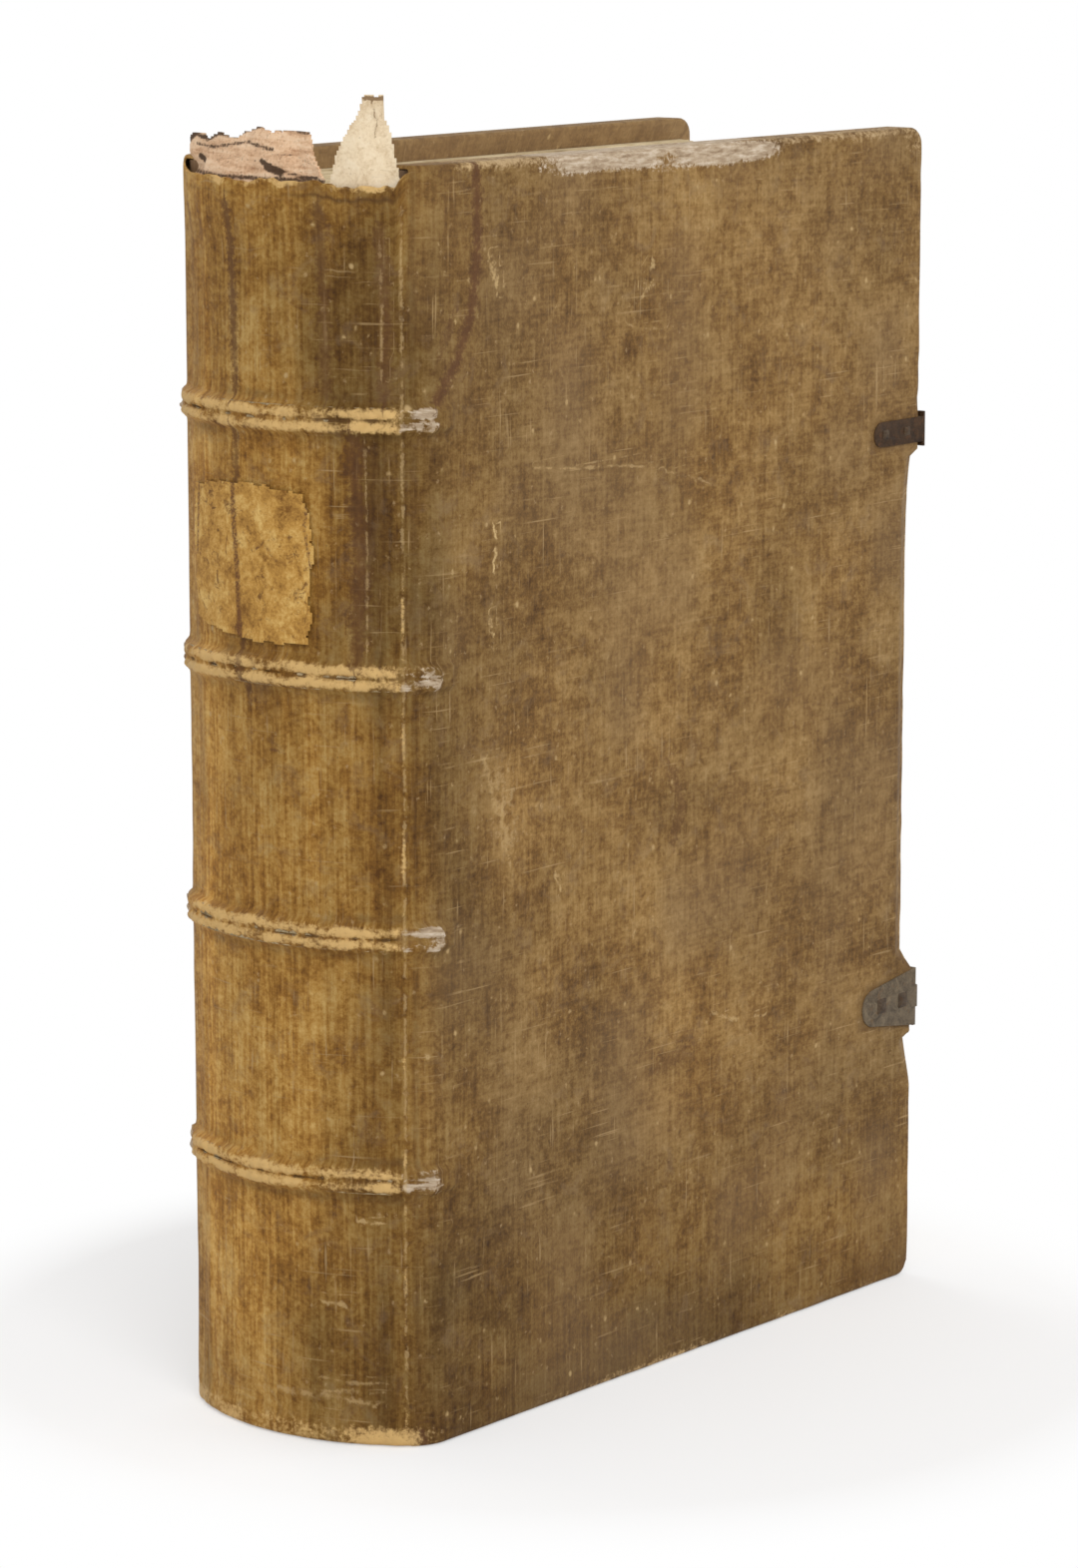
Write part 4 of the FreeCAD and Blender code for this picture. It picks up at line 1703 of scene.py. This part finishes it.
def book_patches() -> tuple[Patch, ...]:
    """Areas: place, height, both half sizes and how much paler; the last six are on the spine.

    Returns:
        The areas.
    """
    return (
        (10, 150, 28, 190, -0.44), (110, 0, 160, 40, -0.50), (60, 66, 80, 34, -0.16),
        (30, 84, 26, 34, 0.22), (84, 120, 22, 26, 0.08), (70, 176, 24, 20, 0.07),
        (150, 210, 40, 22, -0.08), (60, 292, 22, 22, 0.08), (180, 60, 34, 20, -0.10),
        (36, 168, 13, 22, 0.30), (120, 92, 40, 20, 0.16), (160, 292, 40, 26, 0.06),
        (207, 312, 16, 30, -0.16), (216, 130, 7, 90, -0.14), (109, 157, 16, 14, -0.20),
        (110, 86, 11, 5, -0.26), (95, 240, 50, 40, 0.04), (70, 215, 26, 30, 0.05),
        (5, 238, 8, 34, -0.15), (5, 106, 8, 34, 0.16), (-8, 242, 8, 34, -0.44),
        (-12, 302, 15, 34, -0.62), (-26, 34, 11, 24, -0.22), (-8, 30, 6, 40, -0.18),
        (-5, 120, 5, 60, -0.10), (-22, 218, 12, 9, -0.10),
        (-42, 165, 18, 28, 0.08), (-38, 105, 16, 24, 0.10), (-73, 170, 12, 180, 0.66),
        (-26, 245, 8, 12, 0.06), (-38, 306, 34, 24, -0.30), (-44, 46, 20, 26, 0.20),
    )


def paper_label() -> SpineSheet:
    """The label in the spine's second compartment.

    Returns:
        The label, ready to be built.
    """
    finish = SheetFinish("label_paper",
                         ((0.17, 0.070, 0.010), (0.45, 0.240, 0.052), (0.68, 0.46, 0.160)),
                         (0.12, 0.048, 0.012), blots=0.85, size=6.0, rough=0.75, crease=(0.11, 0.040, 0.014))
    outline = ((-70, 219), (-60, 217), (-48, 215.5), (-36, 215), (-27, 215.5), (-25.5, 222),
               (-26.5, 231), (-24.8, 240), (-26, 248), (-28, 255.5), (-38, 256.5), (-50, 257),
               (-62, 256), (-71, 254), (-71.5, 243), (-70.5, 232))
    shade_and_streaks = strokes(
        Tone.DARK,
        (1.6, 0.62, -51.5, 258, -51, 246, -49.8, 232, -49, 214),
        (1.2, 0.55, -68, 255, -69.5, 236),
        (1.0, 0.50, -43, 240, -40, 241, -36, 237),
        (0.9, 0.55, -26.5, 254, -27.5, 246, -25.8, 236))
    return SpineSheet("paper_label", "spine_label", "label_paper", finish, outline, shade_and_streaks, ragged=0.55)


def torn_cap() -> TornTurnIn:
    """The torn turn-in at the head.

    Returns:
        The turn-in, ready to be built.
    """
    finish = SheetFinish("flesh_side", ((0.40, 0.215, 0.11), (0.70, 0.465, 0.29), (0.82, 0.63, 0.44)),
                         (0.22, 0.10, 0.05), blots=0.60, size=1.8, rough=0.85, layers=0.14,
                         crease=(0.040, 0.019, 0.009))
    outline = ((-78.3, 327), (-78.6, 344.5), (-74, 346.6), (-69, 344.5), (-64, 346.5), (-56, 346),
               (-52, 347.6), (-46, 348.6), (-42, 347.4), (-36, 348.4), (-29, 347.6), (-26.5, 342),
               (-22, 335), (-18.5, 331.5), (-18, 327))
    # Painted shade in the cap's folds and hollows and along its foot, and its dark torn rim.
    shade_and_streaks = strokes(
        Tone.DARK,
        (1.2, 0.95, -78.4, 344.0, -75, 345.6),
        (0.9, 0.80, -75, 345.8, -69, 344.6, -64, 346.2, -56, 345.8),
        (0.7, 0.70, -56, 346, -52, 347.4, -46, 348.4, -38, 348, -29, 347.4),
        (1.1, 1.00, -73, 340.0, -69.5, 338.9),
        (0.9, 1.00, -43.5, 340.0, -40, 338.8),
        (1.5, 1.00, -41, 338.6, -36.5, 337.3),
        (0.5, 0.80, -36.5, 337.6, -31, 336.6, -24, 336.2),
        (0.7, 0.70, -74, 343.2, -66, 342.6, -58, 343.6, -50, 344.4, -40, 343.0),
        (0.5, 0.45, -64, 339.4, -54, 340.4, -46, 340.0),
        (0.5, 0.45, -40, 342.0, -31, 341.4, -27, 340.0),
        (0.9, 0.70, -78, 335.8, -60, 335.6, -40, 335.4, -20, 335.4))
    return TornTurnIn("torn_cap", "torn_head_turn_in", "flesh_side_leather", finish, outline, shade_and_streaks,
                      thickness=1.0, ragged=0.5, seed=15)


def vellum_tab() -> VellumFlap:
    """The tab beside the front joint.

    Returns:
        The tab, ready to be built.
    """
    finish = SheetFinish("vellum", ((0.54, 0.39, 0.23), (0.74, 0.60, 0.41), (0.82, 0.71, 0.54)),
                         (0.40, 0.27, 0.14), blots=0.30, size=7.0, rough=0.6, crease=(0.20, 0.115, 0.05))
    outline = ((-21, 326), (-20.5, 337), (-18.5, 343), (-15, 349), (-12, 353.5), (-11, 358),
               (-5, 358), (-5.4, 353), (-3.4, 347), (-2.4, 341), (-1.2, 336), (-1.2, 326))
    # Painted shade under the rolled tip and along its folds.
    shade_and_streaks = strokes(
        Tone.DARK,
        (0.8, 0.95, -10.8, 357.2, -5.2, 357.0),
        (0.5, 0.60, -8.6, 356, -7.6, 351, -7.9, 347),
        (0.5, 0.45, -5.8, 356, -6.2, 352))
    return VellumFlap("vellum_tab", "vellum_flap", "vellum", finish, outline, shade_and_streaks,
                      thickness=0.45, ragged=0.25, seed=25)


def main() -> None:
    """Builds the dressed book piece by piece."""
    leather = LeatherFinish().make()
    marks, patches = book_marks(), book_patches()
    front = Skin(Side.FRONT, leather, marks, patches, band_ends=(8.0, 10.0, 8.4, 8.0))
    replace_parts(front.build(), "spine_leather", "front_cover_leather")
    rear = Skin(Side.REAR, leather, marks[:5], patches[-6:], band_ends=(6.4, 6.0, 7.0, 6.2))
    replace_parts(rear.build(), "rear_cover_leather")
    Leaves().build()
    for sheet in (paper_label(), torn_cap(), vellum_tab()):
        sheet.build()
    Metalwork().build()
    Interior().dress()
    Studio().build()


if __name__ == "__main__":
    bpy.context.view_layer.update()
    main()
